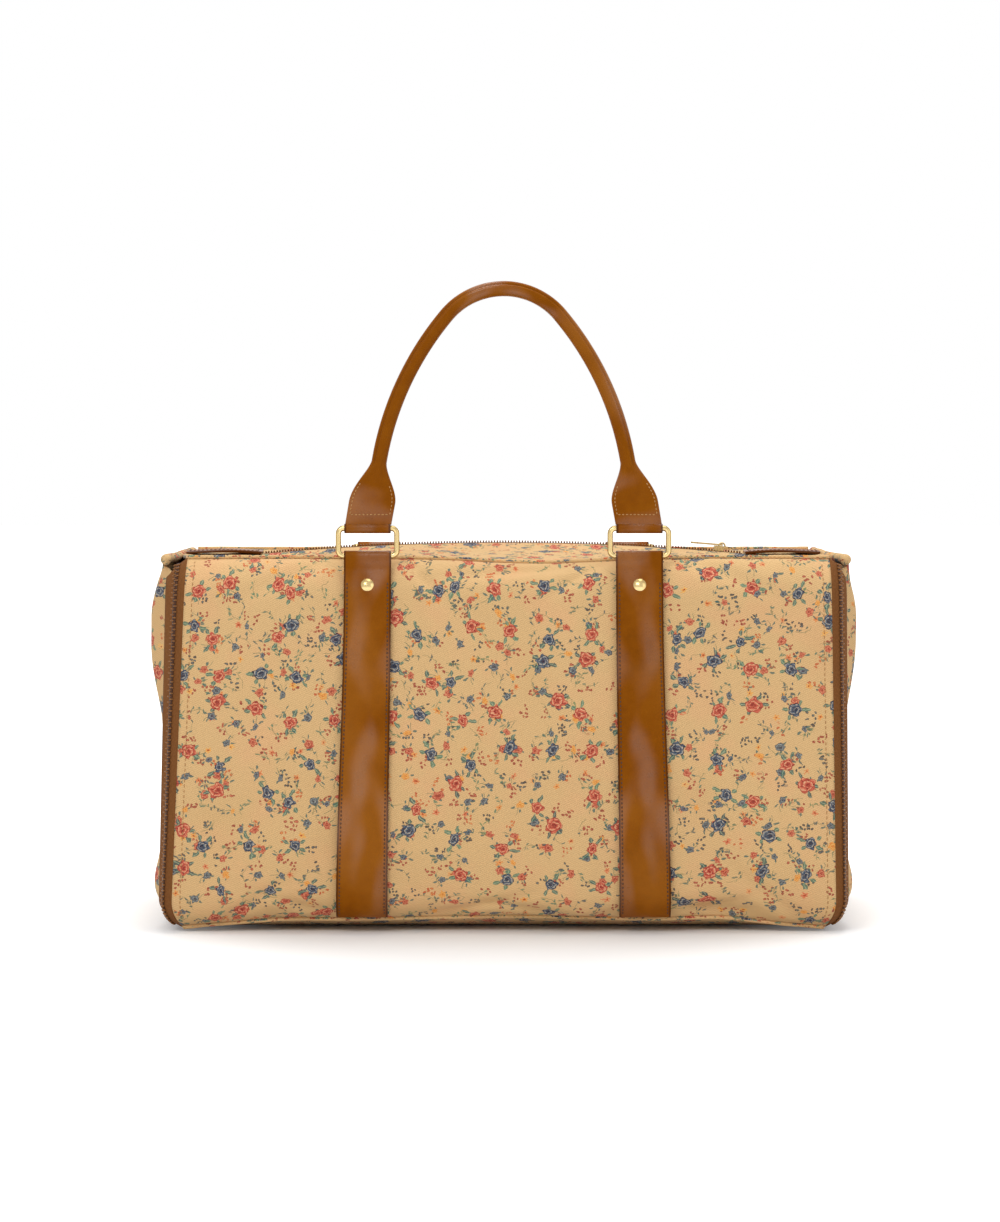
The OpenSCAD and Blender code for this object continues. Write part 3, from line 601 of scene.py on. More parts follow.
def stitch_line(mesh, path, pitch, width=0.0009):
    """Stitches at an even pitch along a path, which gives a point and its outward direction for a share."""
    samples = [path(index / 200) for index in range(201)]
    travelled = 0.0
    due = pitch / 2
    for (here, out), (ahead, _) in zip(samples, samples[1:]):
        step = (ahead - here).length
        while step > 0 and travelled + step >= due:
            along = (ahead - here).normalized()
            across = out.cross(along).normalized()
            axes = (along, across, along.cross(across))
            spot = here.lerp(ahead, (due - travelled) / step)
            add_bead(mesh, spot, axes, (pitch * 0.36, width / 2, width * 0.32))
            due += pitch
        travelled += step


tan_thread = make_thread("tan_thread", (150, 104, 56), (190, 144, 90))
edge_inset = 0.0065
edge_pitch = 0.0042
edge_low_s = 0.012
edge_high_s = front_l - 0.006
thread_drop = 0.0002


def edge_stitches(name, side, seed):
    stitches = bmesh.new()
    for end in (-1, 1):
        def edge_path(share, x=end * (half_len - edge_inset)):
            s = lerp(edge_low_s, edge_high_s, share)
            point = front_pt(x, s, slack(x, s, seed) - thread_drop)
            _, _, out_y, out_z = front_at(s)
            return stand(point, side), Vector((0, out_y * side, out_z))
        stitch_line(stitches, edge_path, edge_pitch)
    finish_piece(stitches, name, tan_thread)


edge_stitches("front_edge_stitches", 1, 0.0)
edge_stitches("back_edge_stitches", -1, 1.0)

# Bottom panel: one piece of the same twill, flat on the floor.
# Its long edges turn up to the lower seams, where they are sewn to the front and back.
bottom_seam_y = half_depth - bottom_r + bottom_r * cos(bottom_a)
flat_y = bottom_seam_y * 0.62
floor_gap = 0.0002


def bottom_place(a, b):
    seam = front_pt(a * half_len, 0.0)
    y = b * seam.y
    rise = max(0.0, (abs(y) - flat_y) / (abs(seam.y) - flat_y))
    return settle((a * half_len, y, seam.z * rise * rise + floor_gap))


def bottom_spread(a, b):
    point = bottom_place(a, b)
    return a * half_len + 2.3, copysign(abs(point.y) + point.z, b)


sew_panel(laid_grid(90, 60, bottom_place, bottom_spread), "bottom_cloth", "bottom_panel")

# Top panels: two strips of twill, one on each side of the top zip.
# They rise from the top seams to the zip, where they meet its tapes, and dip slackly between.
top_seam_y = half_depth - top_r + top_r * cos(top_a)
zip_half = 0.197
zip_edge = 0.009
crown = 0.009
zip_z = seam_h + crown
zip_arc_r = (zip_half * zip_half + crown * crown) / (2 * crown)
top_dip = 0.005
top_swell = 0.0046
top_sag = 0.001
seam_gap = 0.0002
panel_slit = 0.0001
slit_run = 0.005


def ridge_z(x):
    if abs(x) < zip_half:
        return zip_z - zip_arc_r + sqrt(zip_arc_r * zip_arc_r - x * x)
    return seam_h


def top_panel(name, node, side, seed):
    def place(a, b):
        x = a * half_len
        q = (b + 1) / 2
        seam = front_pt(x, front_l)
        inner_y = lerp(zip_edge, panel_slit, smooth((abs(x) - zip_half) / slit_run))
        y = -lerp(top_seam_y - seam_gap, inner_y, q)
        z = lerp(seam.z, ridge_z(x), 1 - (1 - q) ** 2)
        held = smooth(q / 0.15) * smooth((1 - q) / 0.12) * smooth((half_len - abs(x)) / 0.02)
        z -= top_dip * sin(pi * q) * (1 - a * a)
        z += (ripple(x * 12, y * 16, seed) * top_swell - top_sag) * held - seam_gap
        return settle((x, y * side, z))

    mesh = laid_grid(180, 40, place, lambda a, b: (a * half_len + seed, (b + 1) / 2 * top_seam_y), side < 0)
    sew_panel(mesh, name, node)


top_panel("top_front_cloth", "top_front_panel", 1, 3.4)
top_panel("top_back_cloth", "top_back_panel", -1, 4.6)

# End panels: twill panels with rounded corners, set inside the end zips and sewn to their tapes.
# They swell a little, lean in at the top, and are quiet round the tab that carries the end ring.
zip_far_x = 0.012
end_inset = 0.0183
end_half = half_depth - end_inset
end_low = end_inset
end_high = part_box("right_end_panel")[1][2]
end_low_r = bottom_r - end_inset
end_high_r = top_r * 2 / 3
end_mid_z = (end_low + end_high) / 2
end_half_h = (end_high - end_low) / 2
end_lean = 0.006
lean_h = 0.042
end_swell = 0.003
bulge_y = -0.093
bulge_half = 0.034
high_bulge = 0.0145
low_bulge = 0.0085
waist = 0.0045
end_ripple = 0.0038
end_drop = 0.0004
quiet_z = 0.265


def end_x(z, ring):
    lean = end_lean * smooth((z - (end_high - lean_h)) / lean_h)
    return half_len + zip_far_x + end_swell * (1 - ring * ring) - lean


def rounded(a, b):
    y = a * end_half
    z = b * end_half_h
    radius = end_high_r if b > 0 else end_low_r
    core_y = end_half - radius
    core_z = end_half_h - radius
    if abs(y) > core_y and abs(z) > core_z:
        dy = (abs(y) - core_y) / radius
        dz = (abs(z) - core_z) / radius
        reach = radius * max(dy, dz) / hypot(dy, dz)
        y = copysign(core_y + dy * reach, y)
        z = copysign(core_z + dz * reach, z)
    return y, z + end_mid_z


def front_bulge(y, z):
    """The ends belly out near the front at the top and at the floor, and draw in between."""
    height = high_bulge * smooth((z - 0.13) / 0.1) + low_bulge * bell(z - 0.036, 0.028) - waist
    return bell(y - bulge_y, bulge_half) * height * smooth((z - end_low) / 0.012)


def end_panel(name, node, side, seed):
    def place(a, b):
        y, z = rounded(a, b)
        ring = max(abs(a), abs(b))
        rest = smooth((1 - ring) / 0.12)
        quiet = 1 - bell(y, 0.03) * bell(z - quiet_z, 0.05)
        x = end_x(z, ring) + ripple(y * 13, z * 9, seed) * end_ripple * rest * quiet - end_drop
        x += front_bulge(y, z) * smooth((end_half - abs(y)) / 0.02)
        return settle((x * side, y, z), 1.0)

    mesh = laid_grid(70, 80, place, lambda a, b: (a * end_half + seed, b * end_half_h), side < 0)
    sew_panel(mesh, name, node)


end_panel("right_end_cloth", "right_end_panel", 1, 5.7)
end_panel("left_end_cloth", "left_end_panel", -1, 6.9)


# Welts: folded strips of the same twill, sewn as piping into the four long seams.
# They are a little uneven from the sewing.
def closed_tube(columns, rows, place, spread):
    mesh = laid_grid(columns, rows, place, spread)
    bmesh.ops.remove_doubles(mesh, verts=mesh.verts, dist=0.000001)
    ends = [edge for edge in mesh.edges if edge.is_boundary]
    bmesh.ops.holes_fill(mesh, edges=ends, sides=0)
    bmesh.ops.recalc_face_normals(mesh, faces=mesh.faces)
    return mesh


welt_r = 0.0015
welt_sunk = welt_r * 0.45
welt_waver = 0.16
top_slope = radians(6)
low_slope = radians(12)
top_mitre = Vector((0, -cos(top_a) - sin(top_slope), sin(top_a) + cos(top_slope)))
low_mitre = Vector((0, -cos(bottom_a) - sin(low_slope), -sin(bottom_a) - cos(low_slope)))


def welt(name, node, side, s, mitre, seed):
    sunk = mitre.normalized() * welt_sunk

    def place(a, b):
        x = b * half_len
        ray = Vector((0, cos(a * pi), sin(a * pi)))
        radius = welt_r * (1 + welt_waver * ripple(x * 60, seed + ray.y, ray.z))
        point = front_pt(x, s) + sunk + ray * radius
        return stand(point, side)

    mesh = closed_tube(12, 160, place, lambda a, b: (b * half_len + seed, a * welt_r * pi))
    finish_piece(mesh, name, twill, [node])


welt("front_top_piping", "front_top_welt", 1, front_l, top_mitre, 7.3)
welt("back_top_piping", "back_top_welt", -1, front_l, top_mitre, 7.9)
welt("front_bottom_piping", "front_bottom_welt", 1, 0.0, low_mitre, 8.5)
welt("back_bottom_piping", "back_bottom_welt", -1, 0.0, low_mitre, 9.1)

# Bindings: thick rolls of twill, sewn along the top edge of each end panel to finish it.
# Each roll is closed and rounded at both ends, and follows the panel where that bellies out.
binding_r = 0.0042
binding_waver = 0.12
binding_sway = 0.0008


def binding(name, node, side, seed):
    low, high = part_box(node)
    run = high[1] - binding_r
    middle_x = (abs(low[0]) + abs(high[0])) / 2
    middle_z = (low[2] + high[2]) / 2

    def place(a, b):
        y = b * (run + binding_r * 0.98)
        close = max(0.0, abs(y) - run) / binding_r
        radius = binding_r * sqrt(max(0.02, 1 - close * close))
        radius *= 1 + binding_waver * ripple(y * 50, seed, 0)
        turn = a * pi
        sway = ripple(y * 16, seed, 3) * binding_sway
        x = middle_x + cos(turn) * radius + sway + front_bulge(y, middle_z)
        return settle((x * side, y, middle_z + sin(turn) * radius), 1.0)

    mesh = closed_tube(20, 110, place, lambda a, b: (b * run + seed, a * binding_r * pi))
    finish_piece(mesh, name, twill, [node])


binding("right_end_roll", "right_end_binding", 1, 9.7)
binding("left_end_roll", "left_end_binding", -1, 10.3)

# Lining: a plain brown cloth bag sewn in at the zips, seen only through the gaps at their ends.
# It has the shape of its solid, a little smaller, and settles with the cloth around it.
lining_share = 0.99
lining_cloth, shader = start_material("lining_cloth", Roughness=0.9)
lining_weave = noise_wire(surface_place(shader), 900.0)
feed(shader.inputs["Base Color"], tint(lining_weave, (96, 72, 44), (132, 100, 62)))
raise_surface(shader, lining_weave, 0.0002, 0.4)
lining_mesh = bmesh.new()
lining_mesh.from_mesh(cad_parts["lining"].data)
for vert in lining_mesh.verts:
    settled = settle(vert.co)
    vert.co = (settled.x * lining_share, settled.y * lining_share, settled.z)
finish_piece(lining_mesh, "inner_bag", lining_cloth, ["lining"])

# Leather: smooth tan hide with a glossy finish, fine grain, darker pull-up patches, pale patches of painted
# gloss highlight and a dark painted edge.
# The edge paint follows an attribute that each cut strip carries along its two long edges.
leather, shader = start_material("tan_leather", Roughness=0.34)
place = surface_place(shader)
mottle = noise_wire(place, 150.0, 3.0)
tan_shade = noise_wire(place, 26.0, 3.0) * 0.6 + mottle * 0.4
colour = tint(tan_shade, (98, 50, 1), (130, 70, 1), (148, 86, 8))
# Pale hazy patches laid over the tan at random are a painted highlight, standing in for the gloss that
# reflects the lamps.
painted_gloss_haze = noise_wire(place, 11.0).between(0.46, 0.66)
colour = lay_over(colour, srgb(176, 112, 40), painted_gloss_haze * 0.3)
edge_layer = add_node(shader, "Attribute")
edge_layer.attribute_name = "edge_paint"
edge_paint = Wire(edge_layer.outputs["Fac"]).between(0.35, 0.75) * 0.85
feed(shader.inputs["Base Color"], lay_over(colour, srgb(72, 34, 6), edge_paint))
cut_x, cut_y, _ = split_place(cut_place(shader), 1)
stroke = add_node(shader, "CombineXYZ", X=cut_x * 38, Y=cut_y * 13)
polish = noise_wire(stroke.outputs[0], 1.0, 1.0).between(0.43, 0.6)
feed(shader.inputs["Specular IOR Level"], polish * 0.38 + 0.05)
feed(shader.inputs["Roughness"], mottle * 0.2 + 0.3 - polish * 0.12)
pores = add_node(shader, "TexVoronoi", Vector=place, Scale=900.0)
grain = Wire(pores.outputs["Distance"]) * 0.6 + noise_wire(place, 340.0) * 0.8
raise_surface(shader, grain, 0.00018, 0.35)


def leather_strip(columns, rows, place, spread, flip=False):
    mesh = laid_grid(columns, rows, place, spread, flip)
    cut = mesh.loops.layers.uv["cut"]
    paint = mesh.verts.layers.float.new("edge_paint")
    edge = spread(1, 0)[0] * 0.999
    for vert in mesh.verts:
        vert[paint] = 1.0 if abs(vert.link_loops[0][cut].uv.x) > edge else 0.0
    return mesh


# Straps: two layers of leather sewn along both edges with dark thread.
# Each runs from the lower seam up the panel, folds round the bar of its ring, and comes back down inside.
dark_thread = make_thread("dark_thread", (44, 22, 6), (92, 50, 16))
strap_layer = 0.0015
strap_edge_r = 0.0005
strap_flare = 1.1
flare_h = 0.27
strap_pitch = 0.0032
strap_thread = 0.0013
sewn_gap = 0.0003
strap_seat = sewn_gap + panel_swell * strap_x * strap_w / (half_len * half_len)
ring_low, ring_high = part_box("front_right_ring")
ring_wire_r = (ring_high[1] - ring_low[1]) / 2
ring_y = (ring_high[1] + ring_low[1]) / 2
ring_z = ring_low[2] + ring_wire_r
wire_gap = 0.0003
bore_r = ring_wire_r + wire_gap
leave_a = radians(16)
leave_s = lower_arc_l + wall_l + upper_arc_l * leave_a / top_a
strap_low_s = lower_arc_l * 0.3
loop_mid_r = bore_r + strap_layer / 2
seam_low_s = strap_low_s + 0.004
seam_high_s = leave_s + 0.001
seam_in = 0.0026
cross_in = 0.0028
cross_drop = 0.008
stitch_lift = 0.0001


def strap_path():
    """Middle line of the leather in Y and Z: up the outer layer, round the bar, and down the inner layer."""
    outer = strap_seat + strap_layer * 1.5
    inner = strap_seat + strap_layer * 0.5
    stations = [lerp(strap_low_s, leave_s, index / 90) for index in range(91)]

    def side(off):
        return [front_pt(strap_x, s, off).yz for s in stations]

    bar = Vector((ring_y, ring_z))
    along = Vector((sin(leave_a), cos(leave_a)))
    across = Vector((-cos(leave_a), sin(leave_a)))
    rise = (bar - front_pt(strap_x, leave_s, (outer + inner) / 2).yz).dot(along)

    def neck(direction):
        points = []
        for index in range(1, 14):
            share = index / 14
            spread_out = lerp(strap_layer / 2, loop_mid_r, smooth((share - 0.5) / 0.5))
            points.append(bar - along * rise * (1 - share) + across * direction * spread_out)
        return points

    bend = []
    for index in range(17):
        turn = pi * index / 16
        bend.append(bar + (across * cos(turn) + along * sin(turn)) * loop_mid_r)
    return side(outer) + neck(1) + bend + neck(-1)[::-1] + side(inner)[::-1]


strap_line = strap_path()
strap_lengths = [0.0]
for before, after in zip(strap_line, strap_line[1:]):
    strap_lengths.append(strap_lengths[-1] + (after - before).length)


def strap_span(z):
    """Middle and half width of a right-hand strap at a height."""
    up = smooth(z / flare_h)
    return lerp(strap_x + strap_splay, strap_x, up), strap_w / 2 * lerp(strap_flare, 1.0, up)


def strap(name, node, side_x, side_y):
    rows = len(strap_line) - 1

    def place(a, b):
        y, z = strap_line[round((b + 1) / 2 * rows)]
        middle, half_w = strap_span(z)
        return Vector((side_x * (middle + a * half_w), y * side_y, z))

    def spread(a, b):
        return a * strap_w / 2, strap_lengths[round((b + 1) / 2 * rows)]

    mesh = leather_strip(12, rows, place, spread, flip=side_x * side_y < 0)
    finish_piece(mesh, name, leather, [node], strap_layer, strap_edge_r, wall_side=0)

    stitches = bmesh.new()
    for edge in (-1, 1):
        def seam_path(share, edge=edge):
            s = lerp(seam_low_s, seam_high_s, share)
            point = front_pt(strap_x, s, strap_seat + 2 * strap_layer + stitch_lift)
            _, _, out_y, out_z = front_at(s)
            middle, half_w = strap_span(point.z)
            x = side_x * (middle + edge * (half_w - seam_in))
            return Vector((x, point.y * side_y, point.z)), Vector((0, out_y * side_y, out_z))
        stitch_line(stitches, seam_path, strap_pitch, strap_thread)

    def cross_path(share):
        share_x = lerp(-1, 1, share) * (strap_w / 2 - cross_in)
        across = Vector((0, -cos(leave_a) * side_y, sin(leave_a)))
        along = Vector((0, sin(leave_a) * side_y, cos(leave_a)))
        point = Vector((side_x * (strap_x + share_x), ring_y * side_y, ring_z))
        return point - along * cross_drop + across * (strap_layer + stitch_lift), across

    stitch_line(stitches, cross_path, strap_pitch, strap_thread)
    finish_piece(stitches, name + "_stitches", dark_thread)


for word, side_y in (("front", 1), ("back", -1)):
    strap(word + "_right_leather", word + "_right_strap", 1, side_y)
    strap(word + "_left_leather", word + "_left_strap", -1, side_y)

# Metal: pale brass, polished and lacquered, on the rings, rivets, sliders, pulls and end rings.
# These pieces show their solids as they are, with the brass laid on them.
brass, shader = start_material("pale_brass", Roughness=0.2, Metallic=1.0)
smear = noise_wire(surface_place(shader), 120.0, 3.0)
# The base colour is lighter facing the eye and at the grazing rim, with a dark band between: a painted
# reflection of a dark studio, over random smears of tone.
facing = Wire(add_node(shader, "LayerWeight").outputs["Facing"])
brass_tone_and_painted_reflection = facing + smear * 0.3 - 0.15
colour = tint(brass_tone_and_painted_reflection, (208, 184, 132), (190, 162, 106), (122, 96, 52), (204, 182, 132))
feed(shader.inputs["Base Color"], colour)
feed(shader.inputs["Roughness"], smear * 0.2 + 0.16)
for metal_node in ("front_left_ring", "front_right_ring", "back_left_ring", "back_right_ring",
                   "strap_rivets", "top_zip_slider", "top_zip_pull", "left_zip_slider", "left_zip_pull",
                   "right_zip_slider", "right_zip_pull", "left_end_ring", "right_end_ring"):
    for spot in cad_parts[metal_node].material_slots:
        spot.material = brass

# Handles: leather rolled round a cord, with a groove along the roll where its edges meet.
# Each end opens into a flat tab with pale stitches, which folds round the bar of its ring.
pale_thread = make_thread("pale_thread", (146, 98, 46), (206, 156, 96))
ring_h = ring_high[2] - ring_low[2] - 2 * ring_wire_r
handle_rise = 0.188
grip_r = 0.006
tab_h = 0.054
tab_t = 0.005
tab_w = strap_w - 0.0005
tab_pitch = 0.003
tab_edge_r = 0.0004
leg_angle = radians(80)
crown_a = radians(50)
neck_x = strap_x - tab_h / tan(leg_angle)
neck_h = handle_rise - tab_h
cos_fall = cos(crown_a) - cos(leg_angle)
sin_gain = sin(leg_angle) - sin(crown_a)
arch = sin(crown_a) * cos_fall - sin_gain * (1 - cos(crown_a))
crown_r = (neck_x * cos_fall - neck_h * sin_gain) / arch
leg_r = (sin(crown_a) * neck_h - (1 - cos(crown_a)) * neck_x) / arch
crown_c = Vector((0, handle_rise - crown_r))
leg_c = crown_c + (crown_r - leg_r) * Vector((sin(crown_a), cos(crown_a)))
roll_share = 0.6
loop_turn = pi * 0.86
bar_gap = 0.0004
gather_h = 0.0007
groove_depth = 0.24
groove_turn = 0.85
groove_half = 0.13
edge_seam_span = (0.94, 0.75)
foot_seam_share = 0.938


def tab_share(share):
    return (share - roll_share) / (1 - roll_share)


def handle_section(share):
    """Middle, turn from upright, half width, half depth and squareness, from the top to one ring."""
    if share <= roll_share:
        turn = share / roll_share * leg_angle
        ray = Vector((sin(turn), cos(turn)))
        middle = crown_c + crown_r * ray if turn <= crown_a else leg_c + leg_r * ray
        return middle, turn, grip_r, grip_r, 2.0
    rise = lerp(tab_h, bore_r + bar_gap, tab_share(share))
    t = 1 - rise / tab_h
    turn = lerp(leg_angle, pi / 2, smooth(t))
    half_w = lerp(grip_r, tab_w / 2, smooth((t - 0.03) / 0.6) ** 0.8)
    half_d = lerp(grip_r, tab_t / 2, smooth(t / 0.85))
    middle = Vector((strap_x - rise / tan(leg_angle), rise))
    return middle, turn, half_w, half_d, lerp(2.0, 5.0, smooth(t))


def tab_depth(across, half_w, half_d, square):
    return half_d * (1 - min(1.0, abs(across) / half_w) ** square) ** (1 / square) + stitch_lift


def add_mesh(whole, part):
    data = bpy.data.meshes.new("part")
    part.to_mesh(data)
    part.free()
    whole.from_mesh(data)
    bpy.data.meshes.remove(data)


def handle(name, node, body, upright):
    def place(a, b):
        middle, turn, half_w, half_d, square = handle_section(abs(b))
        angle = a * pi
        c = cos(angle)
        s = sin(angle)
        across = half_w * copysign(abs(c) ** (2 / square), c)
        deep = half_d * copysign(abs(s) ** (2 / square), s)
        t = max(0.0, tab_share(abs(b)))
        gather = bell(t - 0.3, 0.22) * gather_h * cos(across / half_w * full_turn)
        deep -= copysign(gather, s) * (1 - abs(c)) * 1.2
        groove = 1 - groove_depth * bell(angle + groove_turn, groove_half) * (1 - smooth(t / 0.25))
        across *= groove
        x = middle.x + across * sin(turn)
        z = middle.y + across * cos(turn)
        return upright @ Vector((copysign(1, b) * x, deep * groove, z))

    mesh = closed_tube(56, 300, place, lambda a, b: (a * grip_r * pi, b * 0.28))
    finish_piece(mesh, name, leather, [node], body=body)

    loops = bmesh.new()
    for side in (-1, 1):
        def loop_place(a, b, side=side):
            turn = b * loop_turn
            x = side * strap_x + a * tab_w / 2
            return upright @ Vector((x, loop_mid_r * sin(turn), -loop_mid_r * cos(turn)))
        add_mesh(loops, leather_strip(10, 36, loop_place, lambda a, b: (a * tab_w / 2, b * 0.01)))
    bmesh.ops.recalc_face_normals(loops, faces=loops.faces)
    finish_piece(loops, name + "_loops", leather, (), strap_layer, tab_edge_r, 0, body)

    stitches = bmesh.new()
    for side, face in ((-1, -1), (-1, 1), (1, -1), (1, 1)):
        out = upright.to_3x3() @ Vector((0, face, 0))
        for edge in (-1, 1):
            def tab_path(share, side=side, face=face, edge=edge, out=out):
                middle, turn, *profile = handle_section(lerp(*edge_seam_span, share))
                across = edge * (profile[0] - seam_in)
                x = middle.x + across * sin(turn)
                z = middle.y + across * cos(turn)
                return upright @ Vector((side * x, face * tab_depth(across, *profile), z)), out
            stitch_line(stitches, tab_path, tab_pitch)

        def foot_path(share, side=side, face=face, out=out):
            middle, _, *profile = handle_section(foot_seam_share)
            across = lerp(-1, 1, share) * (profile[0] - cross_in)
            x = side * middle.x + across
            return upright @ Vector((x, face * tab_depth(across, *profile), middle.y)), out
        stitch_line(stitches, foot_path, tab_pitch)
    finish_piece(stitches, name + "_stitches", pale_thread, body=body)


ring_hang = radians(-125)
handle_hang = radians(-47)
front_upright = Matrix.Translation((0, ring_y, ring_z + ring_h))
back_upright = (Matrix.Translation((0, -ring_y, ring_z)) @ Matrix.Rotation(ring_hang, 4, "X")
                @ Matrix.Translation((0, 0, ring_h)) @ Matrix.Rotation(handle_hang, 4, "X"))
handle("front_grip", "front_handle", "front_handle", front_upright)
handle("back_grip", "back_handle", "back_handle", back_upright)

# Zips: brown woven tapes with a nylon coil, sewn round three sides of each end and along the top.
# The closed coil shows as a row of small ribs from each side in turn.
# On the ends the ribs lie over a core painted dark, which stands for the shade in the gaps between the ribs.
# The core has a UV map of its own length, and the ribs have none.
zip_tape, shader = start_material("zip_tape", Roughness=0.8, Specular_IOR_Level=0.1)
place = cut_place(shader)
tape_x, tape_y, _ = split_place(place, millimetres)
tape_rib = (tape_x * (full_turn / 1.1)).sin() * 0.5 + (tape_y * (full_turn / 0.9)).sin() * 0.5
tape_shade = noise_wire(place, 500.0) * 0.6 + tape_rib * 0.2 + 0.2
feed(shader.inputs["Base Color"], tint(tape_shade, (96, 58, 28), (124, 78, 40), (146, 98, 54)))
raise_surface(shader, tape_rib, 0.0002, 0.5)
nylon, shader = start_material("zip_nylon", Roughness=0.38, Specular_IOR_Level=0.25)
tooth_colour = tint(noise_wire(surface_place(shader), 700.0), (104, 62, 26), (160, 108, 58))
nylon_x, nylon_y, _ = split_place(cut_place(shader), millimetres)
# The core is painted dark brown as painted shade between the ribs; the ribs keep the nylon's own tan.
core_painted_shade = length_of(nylon_x, nylon_y).over(0.01)
feed(shader.inputs["Base Color"], lay_over(tooth_colour, srgb(66, 34, 10), core_painted_shade))

zip_mid = Vector((0.0075, -0.006))
zip_end = Vector((zip_far_x, -0.018))
zip_along = (zip_mid.normalized() + (zip_end - zip_mid).normalized()).normalized()
zip_out = Vector((-zip_along.y, zip_along.x))
tape_t = 0.001
tape_half_w = 0.012
tape_gap = 0.0003
tape_drop = 0.0001
coil_r = 0.0012
tooth_pitch = 0.0023
tooth_size = (tooth_pitch * 0.34, coil_r * 1.75, coil_r * 0.9)
tooth_off = coil_r * 0.75
core_half_w = 0.003
probe = 0.001
path_corner = bottom_r * pi / 2
path_half = upper_arc_l + wall_l + path_corner + half_depth - bottom_r
path_l = 2 * path_half
path_rows = 260


def end_path(travel):
    """Y, Z and outward direction on the end's outline, going down the front and up the back."""
    back = travel > path_half
    t = path_l - travel if back else travel
    corner = t - upper_arc_l - wall_l
    if corner < 0:
        y, z, out_y, out_z = front_at(front_l - t)
    else:
        a = min(corner, path_corner) / bottom_r
        out_y = -cos(a)
        out_z = -sin(a)
        y = bottom_r - half_depth + bottom_r * out_y + max(0.0, corner - path_corner)
        z = bottom_r + bottom_r * out_z
    return (-y, z, -out_y, out_z) if back else (y, z, out_y, out_z)


def end_zip_point(section, travel, side):
    y, z, out_y, out_z = end_path(travel)
    x = (half_len + section[0]) * side
    far_share = max(0.0, (section[0] - zip_mid.x) / (zip_far_x - zip_mid.x))
    return settle((x, y + section[1] * out_y, z + section[1] * out_z), far_share)


def tape_section(share):
    start = zip_mid.normalized() * tape_gap
    if share < 0.5:
        return start.lerp(zip_mid, share * 2)
    return zip_mid.lerp(zip_end, share * 2 - 1)


def end_zip(word, side):
    def tape_point(a, b):
        return end_zip_point(tape_section((a + 1) / 2), (b + 1) / 2 * path_l, side)

    mesh = laid_grid(10, path_rows, tape_point, lambda a, b: (a * tape_half_w, b * path_half), flip=side > 0)
    finish_piece(mesh, word + "_end_tape", zip_tape,
                 [word + "_zip_panel_tape", word + "_zip_end_tape"], tape_t)

    teeth = bmesh.new()
    for index in range(int(path_l / tooth_pitch)):
        travel = (index + 0.5) * tooth_pitch
        hand = -1 if index % 2 else 1
        section = zip_mid + zip_along * (hand * tooth_off) + zip_out * (coil_r * 0.5)
        middle = end_zip_point(section, travel, side)
        out = (end_zip_point(section + zip_out * probe, travel, side) - middle).normalized()
        across = (end_zip_point(section + zip_along * probe, travel, side) - middle).normalized()
        add_bead(teeth, middle, (out.cross(across), across, out), tooth_size)

    def core_point(a, b):
        turn = a * pi
        round_core = zip_along * 1.3 * cos(turn) + zip_out * 0.6 * sin(turn)
        section = zip_mid + round_core * coil_r
        return end_zip_point(section, (b + 1) / 2 * path_l, side)

    add_mesh(teeth, closed_tube(8, path_rows, core_point, lambda a, b: (a * core_half_w, b * path_half)))
    bmesh.ops.recalc_face_normals(teeth, faces=teeth.faces)
    finish_piece(teeth, word + "_end_coil", nylon,
                 [word + "_zip_panel_coil", word + "_zip_end_coil"])


end_zip("right", 1)
end_zip("left", -1)


def top_tape_point(a, b):
    x = b * zip_half
    return settle((x, -a * (zip_edge - seam_gap), ridge_z(x) - tape_drop))


top_tape = laid_grid(12, 120, top_tape_point, lambda a, b: (a * zip_edge, b * zip_half))
finish_piece(top_tape, "top_tape", zip_tape,
             ["top_zip_front_tape", "top_zip_back_tape"], tape_t)
top_teeth = bmesh.new()
for index in range(int(2 * zip_half / tooth_pitch)):
    tooth_x = -zip_half + (index + 0.5) * tooth_pitch
    hand = -1 if index % 2 else 1
    middle = Vector((tooth_x, hand * tooth_off, ridge_z(tooth_x) + coil_r * 0.7))
    add_bead(top_teeth, middle, Matrix.Identity(3), tooth_size)
finish_piece(top_teeth, "top_coil", nylon, ["top_zip_front_coil", "top_zip_back_coil"])

# Zip tabs: leather tabs sewn over the two ends of the top zip.
# Each is cut from one thick layer, arches over the seam, and is stitched round all four edges.
zip_tab_w = 0.028
zip_tab_half_l = 0.031
zip_tab_t = 0.0022
zip_tab_edge_r = 0.0006
zip_tab_pitch = 0.0034
zip_tab_seam = zip_tab_w / 2 - 0.0025
zip_tab_lift = 0.0027
zip_tab_arch = 0.0012
zip_tab_droop = 0.0009
zip_seam_droop = 0.0005


def zip_tab(name, node, side):
    low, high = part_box(node)
    near = min(abs(low[0]), abs(high[0]))
    far = max(abs(low[0]), abs(high[0]))

    def tab_point(share, y, drop):
        z = seam_h + zip_tab_lift + zip_tab_arch * sin(pi * share)
        return Vector((side * lerp(near, far, share), y, z - drop))

    def place(a, b):
        return tab_point((b + 1) / 2, a * zip_tab_w / 2, zip_tab_droop * a * a)

    def seam(share, across):
        return tab_point(share, across * zip_tab_seam, zip_seam_droop * across * across), Vector((0, 0, 1))

    mesh = leather_strip(14, 40, place, lambda a, b: (a * zip_tab_w / 2, b * zip_tab_half_l), flip=side > 0)
    finish_piece(mesh, name, leather, [node], zip_tab_t, zip_tab_edge_r)
    stitches = bmesh.new()
    for edge in (-1, 1):
        stitch_line(stitches, lambda share, edge=edge: seam(lerp(0.04, 0.96, share), edge), zip_tab_pitch)
    for end in (0.05, 0.95):
        stitch_line(stitches, lambda share, end=end: seam(end, lerp(-1, 1, share)), zip_tab_pitch)
    finish_piece(stitches, name + "_stitches", dark_thread)


zip_tab("right_top_tab", "right_zip_tab", 1)
zip_tab("left_top_tab", "left_zip_tab", -1)

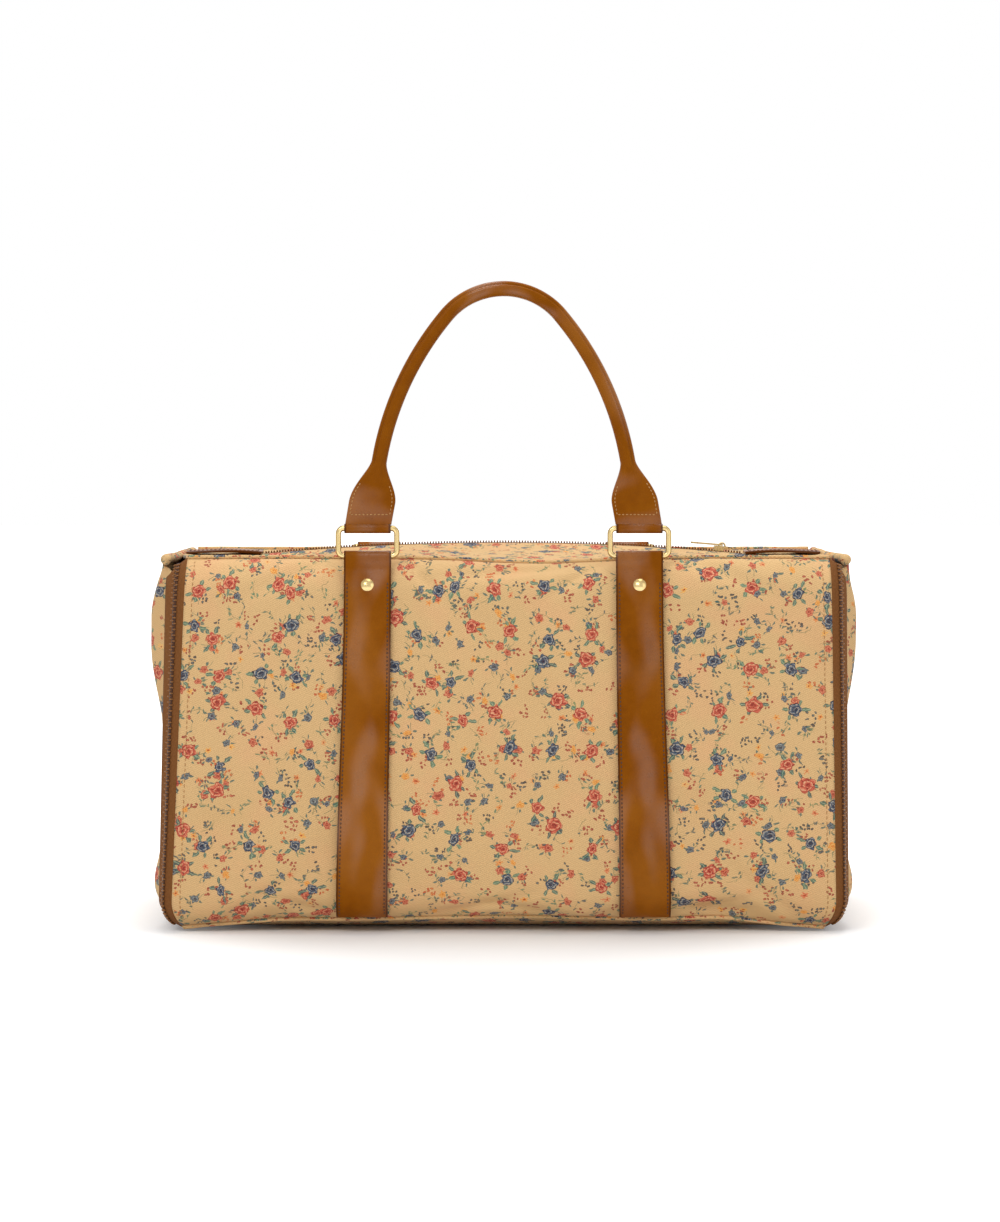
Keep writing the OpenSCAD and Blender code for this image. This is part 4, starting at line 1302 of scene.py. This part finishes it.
# Ring tabs: short leather straps sewn to the end panels with dark thread.
# Each is folded round the bar of its end ring, with its inner layer against the cloth.
end_ring_low, end_ring_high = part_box("right_end_ring")
end_ring_x = (end_ring_low[0] + end_ring_high[0]) / 2
end_wire_r = (end_ring_high[0] - end_ring_low[0]) / 2
end_ring_z = end_ring_high[2] - end_wire_r
end_tab_w = 0.019
end_tab_top = end_high - 0.004
tab_layer = 0.0013
wrap_r = end_wire_r + wire_gap + tab_layer / 2
wrap_start = radians(65)
wrap_end = radians(-205)
outer_low_z = end_ring_z + 0.009
inner_low_z = end_ring_z + 0.006
end_seam_low_z = end_ring_z + 0.010
end_seam_high_z = end_tab_top - 0.002
end_seam_y = end_tab_w / 2 - 0.0022


def tab_seat(z, off):
    return Vector((end_x(z, (z - end_mid_z) / (end_high - end_mid_z)) + sewn_gap + off, z))


outer = [tab_seat(lerp(end_tab_top, outer_low_z, index / 12), tab_layer * 1.5) for index in range(13)]
inner = [tab_seat(lerp(inner_low_z, end_tab_top, index / 12), tab_layer * 0.5) for index in range(13)]
wrap = []
for index in range(17):
    turn = lerp(wrap_start, wrap_end, index / 16)
    wrap.append(Vector((end_ring_x + cos(turn) * wrap_r, end_ring_z + sin(turn) * wrap_r)))
tab_line = outer + wrap + inner


def ring_tab(name, node, side):
    rows = len(tab_line) - 1

    def place(a, b):
        x, z = tab_line[round((b + 1) / 2 * rows)]
        return Vector((side * x, a * end_tab_w / 2, z))

    mesh = leather_strip(8, rows, place, lambda a, b: (a * end_tab_w / 2, b * 0.03), flip=side < 0)
    finish_piece(mesh, name, leather, [node], tab_layer, tab_edge_r, wall_side=0)
    stitches = bmesh.new()
    for edge in (-1, 1):
        def edge_path(share, y=edge * end_seam_y):
            x, z = tab_seat(lerp(end_seam_low_z, end_seam_high_z, share), tab_layer * 2 + stitch_lift)
            return Vector((side * x, y, z)), Vector((side, 0, 0))
        stitch_line(stitches, edge_path, edge_pitch)
    finish_piece(stitches, name + "_stitches", dark_thread)


ring_tab("right_side_tab", "right_ring_tab", 1)
ring_tab("left_side_tab", "left_ring_tab", -1)

bpy.context.view_layer.update()
